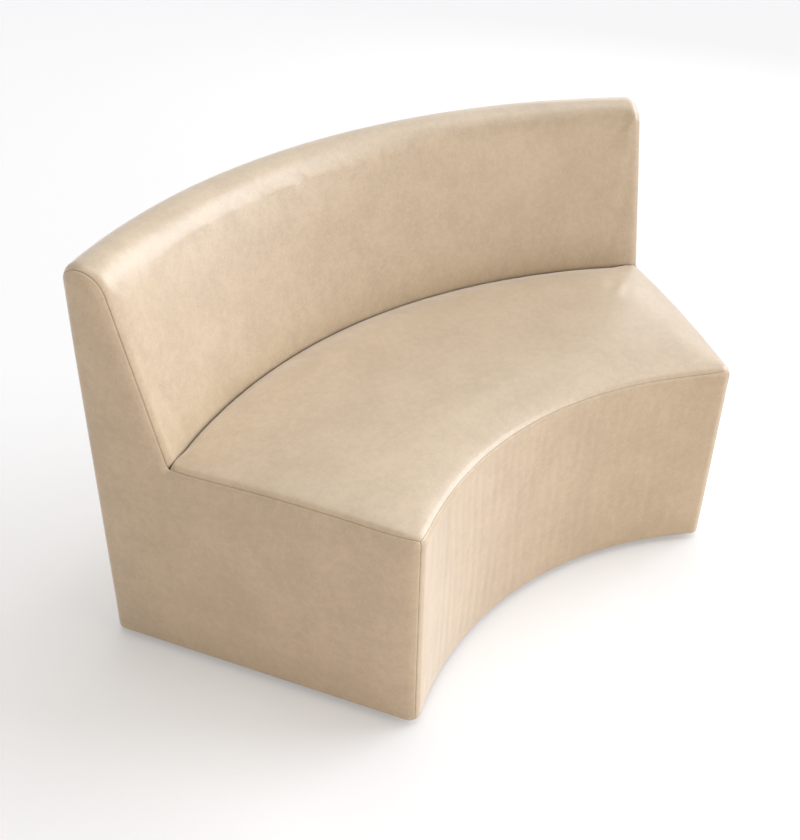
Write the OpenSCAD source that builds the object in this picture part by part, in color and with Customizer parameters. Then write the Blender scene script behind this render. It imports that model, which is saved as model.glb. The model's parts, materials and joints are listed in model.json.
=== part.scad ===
// Curved upholstered banquette section: a birch plywood frame, foam and wadding, sewn covers
// and six levelling glides. The front is concave, the back follows a larger arc, and the two
// ends are straight faces that splay outwards towards the back.
// Millimetres, +Z up, front towards -Y, origin on the floor under the middle of the plan.

/* [Plan and heights] */
// Half the width across the two front corners
front_half_w = 438; // [400:1:480]
// Depth of the seat at the middle, from the front face to the crease
seat_depth = 510; // [460:1:560]
// Thickness of the back at the crease
back_thick = 173; // [160:1:200]
// Height of the back above the floor
overall_h = 834; // [790:1:900]
// Radius of the concave front face
front_r = 766; // [720:1:900]
// Radius of the outer face of the back
back_r = 1290; // [1220:1:1450]
// Angle of each end face from straight back
end_splay = 27; // [22:0.5:30]
// Height of the seam along the front edge of the seat
front_seam_h = 450; // [425:1:465]
// Height of the crease where the seat meets the back
crease_h = 460; // [440:1:480]
// Clear height under the covers
floor_gap = 14; // [13:0.5:20]

/* [Upholstery] */
// Thickness of the cover material
cover_t = 1.5; // [1:0.1:2]
// Foam on the deck, up to the lowest seam round the seat
seat_foam_t = 63; // [50:1:80]
// How far the middle of the seat swells above its seams
seat_crown = 10; // [4:0.5:16]
// Width of the band in which the seat swells to its full height
crown_reach = 150; // [100:5:200]
// How far the seam along each end of the seat bows up
seam_bow = 8; // [0:0.5:12]
// Foam on the raked inside of the back
back_foam_t = 35; // [28:1:40]
// Wadding on the front
front_pad_t = 8; // [5:0.5:12]
// Wadding on each end
end_pad_t = 8; // [5:0.5:12]
// Wadding on the outside of the back
outer_pad_t = 4; // [3:0.5:8]
// Radius of the roll at the inner top edge of the back
inner_roll_r = 60; // [54:1:66]
// Radius of the roll at the outer top edge of the back
outer_roll_r = 31; // [26:1:38]
// Width of the hem that is turned under the frame
hem_w = 30; // [20:1:40]
// Thickness of the dust cover
dust_t = 1; // [0.8:0.1:1.5]
// How far the dust cover's edge lies in from the covers
dust_inset = 12; // [8:1:18]
// Height of the cardboard tacking strip at the top of the outer back
tack_strip_h = 12; // [10:1:16]
// Thickness of the tacking strip
tack_strip_t = 1.2; // [1:0.1:1.6]

/* [Frame] */
// Thickness of the plywood of gables, ribs and rails
board_t = 18; // [15:1:22]
// Thickness of the seat deck
deck_t = 15; // [12:1:18]
// Width of the bottom rails
rail_w = 60; // [50:1:70]
// Width of the other rails
slim_rail_w = 45; // [40:1:50]
// Flexible plywood on the front
front_ply_t = 6; // [4:0.5:8]
// Flexible plywood on the inside and the outside of the back
back_ply_t = 5; // [4:0.5:6]
// Angle of each inner rib from the middle
rib_angle = 12.5; // [9:0.5:15]
// Foam over the top rail
top_foam_t = 35; // [30:1:45]
// Height of the middle back rail above the crease
mid_rail_rise = -30; // [-40:5:60]
// Diameter of the lightening holes in each rib
rib_hole_d = 120; // [60:5:135]
// Diameter of the breather holes in the deck
breather_d = 30; // [20:1:35]

/* [Glides] */
// Travel of each glide
glide_travel = 12; // [8:1:15]
// Diameter of the threaded stem
stem_d = 10; // [8:1:12]
// Length of the stem that stays in the nut and block at full travel
stem_grip = 30; // [27:1:32]
// Width across the flats of the hexagon
hex_af = 15; // [14:1:19]
// Diameter of the nylon pad
pad_d = 38; // [32:1:45]
// Height of the nylon pad
pad_h = 8; // [7:0.5:9]
// Timber between the tips of the frame screws and the hole of the glide nearest them
glide_tip_gap = 10; // [5:1:25]
// Size of the hardwood block above each glide: along, across, high
block_size = [64, 52, 35];

/* [Screws] */
// Shank diameter of the frame screws
frame_screw_d = 5; // [4:0.5:6]
// Length of the frame screws
frame_screw_len = 60; // [50:1:70]
// Shank diameter of the deck screws
deck_screw_d = 4.5; // [3.5:0.5:5]
// Length of the deck screws
deck_screw_len = 30; // [25:1:32]

/* [Hidden] */

$fn = 64;
// Facets on the large arcs
arc_fn = 360;
// Clearance between layers that lie on each other
fit_gap = 0.3;
// Length by which a cutting shape runs past what it cuts
overrun = 5;

// Plan: the front corners, and the centres of the front arc and of the back arcs
front_sagitta = front_r - sqrt(front_r * front_r - front_half_w * front_half_w);
overall_depth = front_sagitta + seat_depth + back_thick;
corner_y = -overall_depth / 2;
front_cy = corner_y + front_sagitta - front_r;
back_cy = overall_depth / 2 - back_r;
crease_r = back_r - back_thick;

// Heights
frame_z = floor_gap + cover_t;
deck_top = min(front_seam_h, crease_h) - seat_foam_t;
deck_z = deck_top - deck_t;
top_rail_z = overall_h - cover_t - fit_gap - top_foam_t;

// The front layers, as radii about the front arc's centre
front_pad_r = front_r + cover_t + fit_gap;
front_ply_r = front_pad_r + front_pad_t + fit_gap;
frame_front_r = front_ply_r + front_ply_t + fit_gap;

// The outer back layers, as radii about the back's centre, from the cover inwards
outer_pad_r = back_r - cover_t - fit_gap;
outer_ply_r = outer_pad_r - outer_pad_t - fit_gap;
frame_back_r = outer_ply_r - back_ply_t - fit_gap;

// The inside back layers, as depths under the visible face
back_foam_d = cover_t + fit_gap;
inside_ply_d = back_foam_d + back_foam_t + fit_gap;
upright_d = inside_ply_d + back_ply_t + fit_gap;
upright_r = crease_r + upright_d;

// The end layers, as depths under the visible face
gable_d = cover_t + end_pad_t;
gable_in_d = gable_d + board_t;

// The rolls along the top of the back, in a section through the back's centre
top_flat = 2;
outer_roll_x = back_r - outer_roll_r;
inner_roll_x = outer_roll_x - top_flat;
inner_roll_z = overall_h - inner_roll_r;
outer_roll_z = overall_h - outer_roll_r;
rake_run = norm([inner_roll_x - crease_r, inner_roll_z - crease_h]);
rake = atan((inner_roll_x - crease_r) / (inner_roll_z - crease_h)) - asin(inner_roll_r / rake_run);

// Blocks that stand for all that lies inside an end face
reach_front = front_half_w + back_thick;
reach_back = overall_depth + back_thick;
reach_side = 4 * front_half_w;

// The grid on which the seat is formed
seat_column_count = 30;
seat_row_count = 12;
last_i = seat_column_count + 2;
last_j = seat_row_count + 2;
foam_inset = gable_d + fit_gap;
seat_front_r = front_ply_r + fit_gap;
seat_strip_r = crease_r - fit_gap - cover_t;
seat_back_r = seat_strip_r - fit_gap;

// Where the lightening holes lie along a rib
rib_hole_shares = [0.18, 0.5, 0.82];

// Glides
stem_r = stem_d / 2;
thread_gap = 0.1;
hex_r = hex_af / 2 / cos(30);
hex_gap = 0.6;
socket_depth = 4;
foot_r = hex_af / 2;
pad_chamfer = 1.5;
nut_flange_r = stem_d * 1.2;
nut_flange_t = 1.5;
nut_wall = 1.5;
nut_len = 12;
stem_len = stem_grip + glide_travel;
glide_setback = frame_screw_len - board_t + stem_r + nut_wall + glide_tip_gap;
glide_front_r = frame_front_r + rail_w / 2;
glide_back_r = frame_back_r - rail_w / 2;

// Screws
screw_gap = 0.15;
frame_head_r = frame_screw_d;
deck_head_r = deck_screw_d;
deck_screw_front_shares = [-0.86, -0.43, 0, 0.43, 0.86];
deck_screw_back_shares = [-0.9, -0.6, 0, 0.6, 0.9];
deck_screw_rib_shares = [0.2, 0.7];

// Where the breather holes lie: along the deck, and across it
breather_shares = [-0.84, -0.56, -0.28, 0, 0.28, 0.56, 0.84];
breather_row_shares = [0.3, 0.52, 0.74];

cover_colour = [0.85, 0.77, 0.65];
foam_colour = [0.93, 0.9, 0.74];
wadding_colour = [0.95, 0.95, 0.93];
birch_colour = [0.84, 0.71, 0.5];
steel_colour = [0.72, 0.73, 0.75];

// A point on an arc of the given radius and centre, at an angle from straight back
function arc_point(r, cy, a) = [r * sin(a), cy + r * cos(a)];

// The angle at which such an arc meets the right end face, or a plane that far inside it
function end_angle(r, cy, inset) =
  end_splay + asin((front_half_w * cos(end_splay) + (cy - corner_y) * sin(end_splay) - inset) / r);

// How far along the right end face a point lies, from the front corner
function along_end(p) = (p.x - front_half_w) * sin(end_splay) + (p.y - corner_y) * cos(end_splay);

// How far inside the nearer end face a point lies
function inside_end(p) =
  (front_half_w - abs(p.x)) * cos(end_splay) + (p.y - corner_y) * sin(end_splay);

// A point on the raked face of the back at the given depth under the cover and height
function rake_point(d, z) =
  [crease_r + d * cos(rake) + (z - crease_h + d * sin(rake)) * tan(rake), z];

// Where the raked face turns straight down behind the seat
function knee_point(d) = [crease_r + d, crease_h - d * tan(rake / 2)];

// The seat's grid: line i runs front to back, line j runs from end to end
function length_share(i) = let (u = 2 * (i - 1) / seat_column_count - 1) (u + sin(90 * u)) / 2;
function depth_share(j) = (1 - cos(180 * max(0, min(seat_row_count, j - 1)) / seat_row_count)) / 2;
function on_arc(i, r, cy) =
  i == 0 ? arc_point(r, cy, -end_angle(r, cy, 0)) :
  i == last_i ? arc_point(r, cy, end_angle(r, cy, 0)) :
  arc_point(r, cy, length_share(i) * end_angle(r, cy, foam_inset));
function grid_point(i, j) =
  j == 0 ? on_arc(i, front_r, front_cy) :
  j == last_j ? on_arc(i, crease_r - fit_gap, back_cy) :
  (1 - depth_share(j)) * on_arc(i, seat_front_r, front_cy)
    + depth_share(j) * on_arc(i, seat_back_r, back_cy);

// The height of the seam round the seat, and the swell between the seams
function seam_z(j) =
  let (v = depth_share(j)) front_seam_h + (crease_h - front_seam_h) * v + 4 * seam_bow * v * (1 - v);
function swell(s) = 1 - pow(1 - min(max(s, 0) / crown_reach, 1), 4);
function seat_z(i, j) =
  let (
    p = grid_point(i, j),
    from_front = norm([p.x, p.y - front_cy]) - front_r,
    from_crease = crease_r - fit_gap - norm([p.x, p.y - back_cy])
  )
  seam_z(j) + seat_crown * swell(inside_end(p)) * swell(min(from_front, from_crease));

// Faces of a solid between two grids of n by m cells, upper points first
function cell(i, j, m) = i * (m + 1) + j;
function grid_faces(n, m) =
  let (low = (n + 1) * (m + 1))
  concat(
    [for (i = [0:n - 1], j = [0:m - 1]) each [
      [cell(i, j, m), cell(i, j + 1, m), cell(i + 1, j + 1, m)],
      [cell(i, j, m), cell(i + 1, j + 1, m), cell(i + 1, j, m)],
      [low + cell(i, j, m), low + cell(i + 1, j + 1, m), low + cell(i, j + 1, m)],
      [low + cell(i, j, m), low + cell(i + 1, j, m), low + cell(i + 1, j + 1, m)]
    ]],
    [for (i = [0:n - 1]) each [
      [cell(i, 0, m), cell(i + 1, 0, m), low + cell(i + 1, 0, m)],
      [cell(i, 0, m), low + cell(i + 1, 0, m), low + cell(i, 0, m)],
      [cell(i, m, m), low + cell(i + 1, m, m), cell(i + 1, m, m)],
      [cell(i, m, m), low + cell(i, m, m), low + cell(i + 1, m, m)]
    ]],
    [for (j = [0:m - 1]) each [
      [cell(0, j, m), low + cell(0, j + 1, m), cell(0, j + 1, m)],
      [cell(0, j, m), low + cell(0, j, m), low + cell(0, j + 1, m)],
      [cell(n, j, m), cell(n, j + 1, m), low + cell(n, j + 1, m)],
      [cell(n, j, m), low + cell(n, j + 1, m), low + cell(n, j, m)]
    ]]
  );

// The frame of an end face: Y runs back along the face, and the outside is away from the middle
module end_frame(side) {
  translate([side * front_half_w, corner_y, 0]) rotate([0, 0, -side * end_splay]) children();
}

// Everything between two depths under an end face, above a foot
module end_slab(side, near, far, foot = -overrun) {
  end_frame(side)
    translate([side > 0 ? -far : near, -reach_front, foot])
      cube([far - near, reach_front + reach_back, overall_h + overrun - foot]);
}

// Everything that lies that far inside both end faces
module inside_ends(inset) {
  intersection() {
    end_slab(-1, inset, reach_side);
    end_slab(1, inset, reach_side);
  }
}

// A ring about the front arc's centre
module front_ring(r_in, r_out, z_low, z_high) {
  translate([0, front_cy, z_low])
    difference() {
      cylinder(r = r_out, h = z_high - z_low, $fn = arc_fn);
      translate([0, 0, -overrun])
        cylinder(r = r_in, h = z_high - z_low + 2 * overrun, $fn = arc_fn);
    }
}

// A ring about the back's centre
module back_ring(r_in, r_out, z_low, z_high) {
  translate([0, back_cy, z_low])
    difference() {
      cylinder(r = r_out, h = z_high - z_low, $fn = arc_fn);
      translate([0, 0, -overrun])
        cylinder(r = r_in, h = z_high - z_low + 2 * overrun, $fn = arc_fn);
    }
}

// A section turned about the back's centre
module turned_back() {
  translate([0, back_cy, 0]) rotate_extrude($fn = arc_fn) children();
}

// What lies in front of the front arc, down to a depth under the visible face
module front_hollow(d) {
  translate([0, front_cy, -overrun])
    cylinder(r = front_r + d, h = overall_h + 2 * overrun, $fn = arc_fn);
}

// What a round corner takes off a section: all between two directions from its centre that
// lies past its radius
module corner_cut(centre, r, from, to) {
  far = 3 * r;
  middle = (from + to) / 2;
  translate(centre)
    difference() {
      polygon([[0, 0], far * [cos(from), sin(from)], far * [cos(middle), sin(middle)],
        far * [cos(to), sin(to)]]);
      circle(r = r);
    }
}

// The section of the whole back, that deep under its visible face, down to a foot
module back_section(d, foot) {
  difference() {
    polygon([
      [crease_r + d, foot], knee_point(d), rake_point(d, overall_h - d),
      [back_r - d, overall_h - d], [back_r - d, foot]
    ]);
    corner_cut([inner_roll_x, inner_roll_z], inner_roll_r - d, 90, 180 - rake);
    corner_cut([outer_roll_x, outer_roll_z], outer_roll_r - d, 0, 90);
  }
}

// The section of the timber in the back, behind the given depth and below the given height
module timber_section(d, foot, top, r_out) {
  polygon([
    [crease_r + d, foot], knee_point(d), rake_point(d, top), [r_out, top], [r_out, foot]
  ]);
}

// All the space that the gables and ribs may fill
module frame_space() {
  difference() {
    translate([0, back_cy, frame_z]) cylinder(r = frame_back_r, h = deck_z - frame_z, $fn = arc_fn);
    front_hollow(frame_front_r - front_r);
  }
  turned_back() timber_section(upright_d, deck_z, top_rail_z, frame_back_r);
}

// The rails, each grown by g where a rib is notched round it
module bottom_front_rail_shape(g) {
  front_ring(frame_front_r - g, frame_front_r + rail_w + g, frame_z - g, frame_z + board_t + g);
}

module bottom_back_rail_shape(g) {
  back_ring(frame_back_r - rail_w - g, frame_back_r + g, frame_z - g, frame_z + board_t + g);
}

module seat_front_rail_shape(g) {
  front_ring(frame_front_r - g, frame_front_r + slim_rail_w + g, deck_z - board_t - g, deck_z + g);
}

module seat_back_rail_shape(g) {
  back_ring(upright_r - slim_rail_w - g, upright_r + g, deck_z - board_t - g, deck_z + g);
}

module lower_back_rail_shape(g) {
  back_ring(upright_r - g, upright_r + slim_rail_w + g, deck_top - g, deck_top + board_t + g);
}

module middle_back_rail_shape(g) {
  mid_z = crease_h + mid_rail_rise;
  back_ring(frame_back_r - slim_rail_w - g, frame_back_r + g, mid_z - g, mid_z + board_t + g);
}

module top_rail_shape(g) {
  low = top_rail_z - board_t - g;
  turned_back()
    polygon([
      rake_point(upright_d - g, low), rake_point(upright_d - g, top_rail_z + g),
      [frame_back_r + g, top_rail_z + g], [frame_back_r + g, low]
    ]);
}

module all_rails(g) {
  bottom_front_rail_shape(g);
  bottom_back_rail_shape(g);
  seat_front_rail_shape(g);
  seat_back_rail_shape(g);
  lower_back_rail_shape(g);
  middle_back_rail_shape(g);
  top_rail_shape(g);
}

// A countersunk screw along +Z with its head's flat top at the origin, or its hole
module screw(d, head_r, len, gap) {
  translate([0, 0, -len]) cylinder(d = d + 2 * gap, h = len);
  translate([0, 0, d / 2 - head_r]) cylinder(r1 = d / 2 + gap, r2 = head_r + gap, h = head_r - d / 2);
  if (gap > 0) cylinder(r = head_r + gap, h = overrun);
}

// Where each rail meets a gable: [distance along the end face, height]
function rail_end(r, cy, z) = [along_end(arc_point(r, cy, end_angle(r, cy, gable_in_d))), z];
frame_screw_spots = [
  rail_end(frame_front_r + rail_w / 2, front_cy, frame_z + board_t / 2),
  rail_end(frame_back_r - rail_w / 2, back_cy, frame_z + board_t / 2),
  rail_end(frame_front_r + slim_rail_w / 2, front_cy, deck_z - board_t / 2),
  rail_end(upright_r - slim_rail_w / 2, back_cy, deck_z - board_t / 2),
  rail_end(upright_r + slim_rail_w / 2, back_cy, deck_top + board_t / 2),
  rail_end(frame_back_r - slim_rail_w / 2, back_cy, crease_h + mid_rail_rise + board_t / 2),
  rail_end((rake_point(upright_d, top_rail_z - board_t / 2).x + frame_back_r) / 2, back_cy,
    top_rail_z - board_t / 2)
];

module frame_screw_set(gap) {
  for (side = [-1, 1], spot = frame_screw_spots)
    end_frame(side)
      translate([-side * gable_d, spot.x, spot.y])
        rotate([0, side * 90, 0])
          screw(frame_screw_d, frame_head_r, frame_screw_len, gap);
}

// Where the deck is screwed down: to the front rail, the back rail and the ribs
rib_front_reach = frame_front_r - (back_cy - front_cy);
deck_screw_front_r = frame_front_r + slim_rail_w / 2;
deck_screw_back_r = upright_r - slim_rail_w / 2;
deck_screw_spots = concat(
  [for (s = deck_screw_front_shares)
    arc_point(deck_screw_front_r, front_cy, s * end_angle(deck_screw_front_r, front_cy, gable_in_d))],
  [for (s = deck_screw_back_shares)
    arc_point(deck_screw_back_r, back_cy, s * end_angle(deck_screw_back_r, back_cy, gable_in_d))],
  [for (side = [-1, 1], s = deck_screw_rib_shares)
    arc_point(rib_front_reach + s * (upright_r - rib_front_reach), back_cy, side * rib_angle)]
);

module deck_screw_set(gap) {
  for (spot = deck_screw_spots)
    translate([spot.x, spot.y, deck_top]) screw(deck_screw_d, deck_head_r, deck_screw_len, gap);
}

// Where the glides stand: three along the front rail, then three along the back rail
function glide_angle(k, r, cy) =
  k * (end_angle(r, cy, gable_in_d) - glide_setback / r * 180 / PI);
function glide_spot(n) =
  n <= 3 ? arc_point(glide_front_r, front_cy, glide_angle(n - 2, glide_front_r, front_cy)) :
  arc_point(glide_back_r, back_cy, glide_angle(n - 5, glide_back_r, back_cy));
function glide_turn(n) =
  n <= 3 ? -glide_angle(n - 2, glide_front_r, front_cy) : -glide_angle(n - 5, glide_back_r, back_cy);

module at_glide(n) {
  translate(concat(glide_spot(n), [0])) rotate([0, 0, glide_turn(n)]) children();
}

module at_glides() {
  for (n = [1:6]) at_glide(n) children();
}

// The hole that a tee nut and the stem above it need in a rail
module tee_nut_hole() {
  translate([0, 0, frame_z - overrun])
    cylinder(r = stem_r + nut_wall + screw_gap, h = board_t + 2 * overrun);
  translate([0, 0, frame_z - overrun])
    cylinder(r = nut_flange_r + fit_gap, h = nut_flange_t + overrun);
}

module end_gable(side) {
  color(birch_colour)
    difference() {
      intersection() {
        end_slab(side, gable_d, gable_in_d);
        frame_space();
      }
      frame_screw_set(screw_gap);
    }
}

module end_gable_left() end_gable(-1);
module end_gable_right() end_gable(1);

// Round holes that lighten a rib, in the plane of the rib
module rib_holes() {
  low = frame_z + board_t;
  high = deck_z - board_t;
  near = rib_front_reach + rail_w;
  for (s = rib_hole_shares)
    translate([-board_t, near + s * (upright_r - near), (low + high) / 2])
      rotate([0, 90, 0]) cylinder(d = rib_hole_d, h = 2 * board_t);
}

module rib(side) {
  color(birch_colour)
    difference() {
      intersection() {
        translate([0, back_cy, 0])
          rotate([0, 0, -side * rib_angle])
            translate([-board_t / 2, 0, 0])
              cube([board_t, back_r, overall_h]);
        frame_space();
      }
      all_rails(fit_gap);
      translate([0, back_cy, 0]) rotate([0, 0, -side * rib_angle]) rib_holes();
      deck_screw_set(screw_gap);
    }
}

module rib_left() rib(-1);
module rib_right() rib(1);

module rail_between_gables() {
  color(birch_colour)
    difference() {
      intersection() {
        children(0);
        inside_ends(gable_in_d);
      }
      frame_screw_set(screw_gap);
      if ($children > 1) children(1);
    }
}

module bottom_front_rail() {
  rail_between_gables() {
    bottom_front_rail_shape(0);
    at_glides() tee_nut_hole();
  }
}

module bottom_back_rail() {
  rail_between_gables() {
    bottom_back_rail_shape(0);
    at_glides() tee_nut_hole();
  }
}

module seat_front_rail() {
  rail_between_gables() {
    seat_front_rail_shape(0);
    deck_screw_set(screw_gap);
  }
}

module seat_back_rail() {
  rail_between_gables() {
    seat_back_rail_shape(0);
    deck_screw_set(screw_gap);
  }
}

module lower_back_rail() rail_between_gables() lower_back_rail_shape(0);
module middle_back_rail() rail_between_gables() middle_back_rail_shape(0);
module top_rail() rail_between_gables() top_rail_shape(0);

module front_ply() {
  color(birch_colour)
    intersection() {
      front_ring(front_ply_r, front_ply_r + front_ply_t, frame_z, deck_top);
      inside_ends(gable_d);
    }
}

module inside_back_ply() {
  color(birch_colour)
    intersection() {
      turned_back()
        polygon([
          [crease_r + inside_ply_d, deck_top], knee_point(inside_ply_d),
          rake_point(inside_ply_d, top_rail_z), rake_point(inside_ply_d + back_ply_t, top_rail_z),
          knee_point(inside_ply_d + back_ply_t), [crease_r + inside_ply_d + back_ply_t, deck_top]
        ]);
      inside_ends(gable_d);
    }
}

module outer_back_ply() {
  color(birch_colour)
    intersection() {
      back_ring(outer_ply_r - back_ply_t, outer_ply_r, frame_z, top_rail_z);
      inside_ends(gable_d);
    }
}

// Where a breather hole starts, from its shares along the deck and across it
function breather_spot(along, across) =
  let (r = rib_front_reach + across * (upright_r - rib_front_reach))
  concat(arc_point(r, back_cy, along * end_angle(r, back_cy, gable_in_d)), [deck_z - overrun]);

// The deck, with rows of holes that let the seat breathe when someone sits down
module seat_deck() {
  color(birch_colour)
    difference() {
      intersection() {
        difference() {
          translate([0, back_cy, deck_z])
            cylinder(r = upright_r - fit_gap, h = deck_t, $fn = arc_fn);
          front_hollow(frame_front_r - front_r);
        }
        inside_ends(gable_d);
      }
      for (s = breather_shares, t = breather_row_shares)
        translate(breather_spot(s, t)) cylinder(d = breather_d, h = deck_t + 2 * overrun);
      deck_screw_set(screw_gap);
    }
}

module glide_blocks() {
  color([0.74, 0.58, 0.38])
    at_glides()
      translate([0, 0, frame_z + board_t])
        difference() {
          translate([-block_size.x / 2, -block_size.y / 2, 0]) cube(block_size);
          translate([0, 0, -overrun])
            cylinder(r = stem_r + nut_wall, h = block_size.z + 2 * overrun);
        }
}

module tee_nuts() {
  color(steel_colour)
    at_glides()
      translate([0, 0, frame_z])
        difference() {
          union() {
            cylinder(r = nut_flange_r, h = nut_flange_t);
            cylinder(r = stem_r + nut_wall, h = nut_len);
          }
          translate([0, 0, -overrun]) cylinder(r = stem_r + thread_gap, h = nut_len + 2 * overrun);
        }
}

module frame_screws() color(steel_colour) frame_screw_set(0);
module deck_screws() color(steel_colour) deck_screw_set(0);

// The seat foam: flat on the deck, square at its sides, and crowned on top
module seat_foam() {
  upper = [for (i = [1:last_i - 1], j = [1:last_j - 1])
    concat(grid_point(i, j), [seat_z(i, j) - cover_t - fit_gap])];
  lower = [for (i = [1:last_i - 1], j = [1:last_j - 1])
    concat(grid_point(i, j), [deck_top + fit_gap])];
  color(foam_colour) polyhedron(concat(upper, lower), grid_faces(seat_column_count, seat_row_count));
}

// The seat cover: swells from its seams to the crown, and is pulled down into the crease
module seat_cover() {
  upper = [for (i = [0:last_i], j = [0:last_j]) concat(grid_point(i, j), [seat_z(i, j)])];
  lower = [for (p = upper) p - [0, 0, cover_t]];
  color(cover_colour) polyhedron(concat(upper, lower), grid_faces(last_i, last_j));
}

module back_foam() {
  under = back_foam_d + back_foam_t;
  color(foam_colour)
    difference() {
      intersection() {
        turned_back() back_section(back_foam_d, deck_top + fit_gap);
        inside_ends(gable_d);
      }
      turned_back() timber_section(under, deck_top - overrun, top_rail_z + fit_gap, back_r);
    }
}

module front_pad() {
  color(wadding_colour)
    intersection() {
      front_ring(front_pad_r, front_pad_r + front_pad_t, frame_z, front_seam_h - cover_t);
      inside_ends(gable_d);
    }
}

// The end of the seat below its bowed seam, as a prism that runs in from the end face
module seat_end_prism(side, deep) {
  rim = [for (j = [0:last_j]) [along_end(grid_point(last_i, j)), seam_z(j) - cover_t]];
  end_frame(side)
    translate([side > 0 ? -deep : 0, 0, 0])
      rotate([90, 0, 90])
        linear_extrude(deep)
          polygon(concat(
            [[-overrun, -overrun], [-overrun, rim[0].y]], rim,
            [[rim[last_j].x + back_thick / 2, rim[last_j].y],
              [rim[last_j].x + back_thick / 2, -overrun]]
          ));
}

// One layer of an end: the whole L-shaped outline, that deep under the other visible faces
module end_layer(side, near, far, d, foot) {
  intersection() {
    end_slab(side, near, far, foot);
    union() {
      difference() {
        seat_end_prism(side, far + overrun);
        front_hollow(d);
      }
      turned_back() back_section(d, -2 * overrun);
    }
  }
}

module end_pad_left() {
  color(wadding_colour) end_layer(-1, cover_t, gable_d, cover_t + fit_gap, frame_z);
}

module end_pad_right() {
  color(wadding_colour) end_layer(1, cover_t, gable_d, cover_t + fit_gap, frame_z);
}

module outer_back_pad() {
  color(wadding_colour)
    intersection() {
      back_ring(outer_pad_r - outer_pad_t, outer_pad_r, frame_z,
        top_rail_z - tack_strip_h - fit_gap);
      inside_ends(gable_d);
    }
}

module front_cover() {
  color(cover_colour) {
    intersection() {
      front_ring(front_r, front_r + cover_t, floor_gap, front_seam_h - cover_t);
      inside_ends(cover_t);
    }
    intersection() {
      front_ring(front_r, front_r + hem_w, floor_gap, frame_z);
      inside_ends(hem_w);
    }
  }
}

// An end cover: the L-shaped panel, and its hem under the gable
module end_cover(side) {
  color(cover_colour)
    intersection() {
      end_slab(side, 0, hem_w, floor_gap);
      union() {
        end_layer(side, 0, cover_t, 0, 0);
        difference() {
          intersection() {
            end_slab(side, cover_t / 2, hem_w + overrun);
            translate([0, back_cy, floor_gap / 2])
              cylinder(r = back_r - cover_t, h = frame_z - floor_gap / 2, $fn = arc_fn);
          }
          front_hollow(cover_t);
        }
      }
    }
}

module end_cover_left() end_cover(-1);
module end_cover_right() end_cover(1);

// The inside back and the top in one sewn panel, from the crease over to the outer edge
module inside_back_cover() {
  color(cover_colour)
    difference() {
      intersection() {
        turned_back() back_section(0, crease_h);
        inside_ends(cover_t);
      }
      turned_back() back_section(cover_t, crease_h - overrun);
      back_ring(outer_roll_x, back_r + overrun, crease_h - overrun, outer_roll_z);
    }
}

module outer_back_cover() {
  color(cover_colour) {
    intersection() {
      back_ring(back_r - cover_t, back_r, floor_gap, outer_roll_z);
      inside_ends(cover_t);
    }
    intersection() {
      back_ring(back_r - hem_w, back_r, floor_gap, frame_z);
      inside_ends(hem_w);
    }
  }
}

module seat_pull_strip() {
  color(cover_colour)
    intersection() {
      back_ring(seat_strip_r, seat_strip_r + cover_t, deck_top, crease_h - cover_t - fit_gap);
      inside_ends(gable_d);
    }
}

module back_pull_strip() {
  color(cover_colour)
    intersection() {
      back_ring(crease_r, crease_r + cover_t, deck_top, crease_h);
      inside_ends(gable_d);
    }
}

module tacking_strip() {
  color([0.7, 0.6, 0.45])
    intersection() {
      back_ring(outer_ply_r + fit_gap, outer_ply_r + fit_gap + tack_strip_t,
        top_rail_z - tack_strip_h, top_rail_z);
      inside_ends(gable_d);
    }
}

module dust_cover() {
  color([0.1, 0.1, 0.1])
    difference() {
      intersection() {
        translate([0, back_cy, floor_gap - dust_t])
          cylinder(r = back_r - dust_inset, h = dust_t, $fn = arc_fn);
        inside_ends(dust_inset);
      }
      front_hollow(dust_inset);
      at_glides()
        translate([0, 0, floor_gap - dust_t - overrun])
          cylinder(r = stem_r + nut_wall, h = dust_t + 2 * overrun);
    }
}

// A nylon pad with a socket in its top, in which the foot of the stem turns
module glide_pad(n) {
  pad_r = pad_d / 2;
  color([0.12, 0.12, 0.12])
    at_glide(n)
      rotate_extrude()
        polygon([
          [0, 0], [pad_r - pad_chamfer, 0], [pad_r, pad_chamfer], [pad_r, pad_h - pad_chamfer],
          [pad_r - pad_chamfer, pad_h], [foot_r + fit_gap, pad_h],
          [foot_r + fit_gap, pad_h - socket_depth], [0, pad_h - socket_depth]
        ]);
}

// A steel stem: round foot, hexagon for the spanner and threaded rod
module glide_stem(n) {
  hex_top = floor_gap - dust_t - hex_gap;
  hex_z = pad_h + fit_gap;
  foot_z = pad_h - socket_depth + fit_gap;
  color(steel_colour)
    at_glide(n) {
      translate([0, 0, foot_z]) cylinder(r = foot_r, h = hex_z - foot_z);
      translate([0, 0, hex_z]) cylinder(r = hex_r, h = hex_top - hex_z, $fn = 6);
      translate([0, 0, hex_top]) cylinder(r = stem_r, h = stem_len);
    }
}

end_gable_left();
end_gable_right();
rib_left();
rib_right();
bottom_front_rail();
bottom_back_rail();
seat_front_rail();
seat_back_rail();
lower_back_rail();
middle_back_rail();
top_rail();
front_ply();
inside_back_ply();
outer_back_ply();
seat_deck();
glide_blocks();
tee_nuts();
frame_screws();
deck_screws();
seat_foam();
back_foam();
front_pad();
end_pad_left();
end_pad_right();
outer_back_pad();
seat_cover();
front_cover();
end_cover_left();
end_cover_right();
inside_back_cover();
outer_back_cover();
seat_pull_strip();
back_pull_strip();
tacking_strip();
dust_cover();
for (n = [1:6]) glide_pad(n);
for (n = [1:6]) glide_stem(n);
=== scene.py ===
import json
import math
import bpy
import numpy as np
from mathutils import Matrix, Vector
from mathutils.geometry import delaunay_2d_cdt

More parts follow.
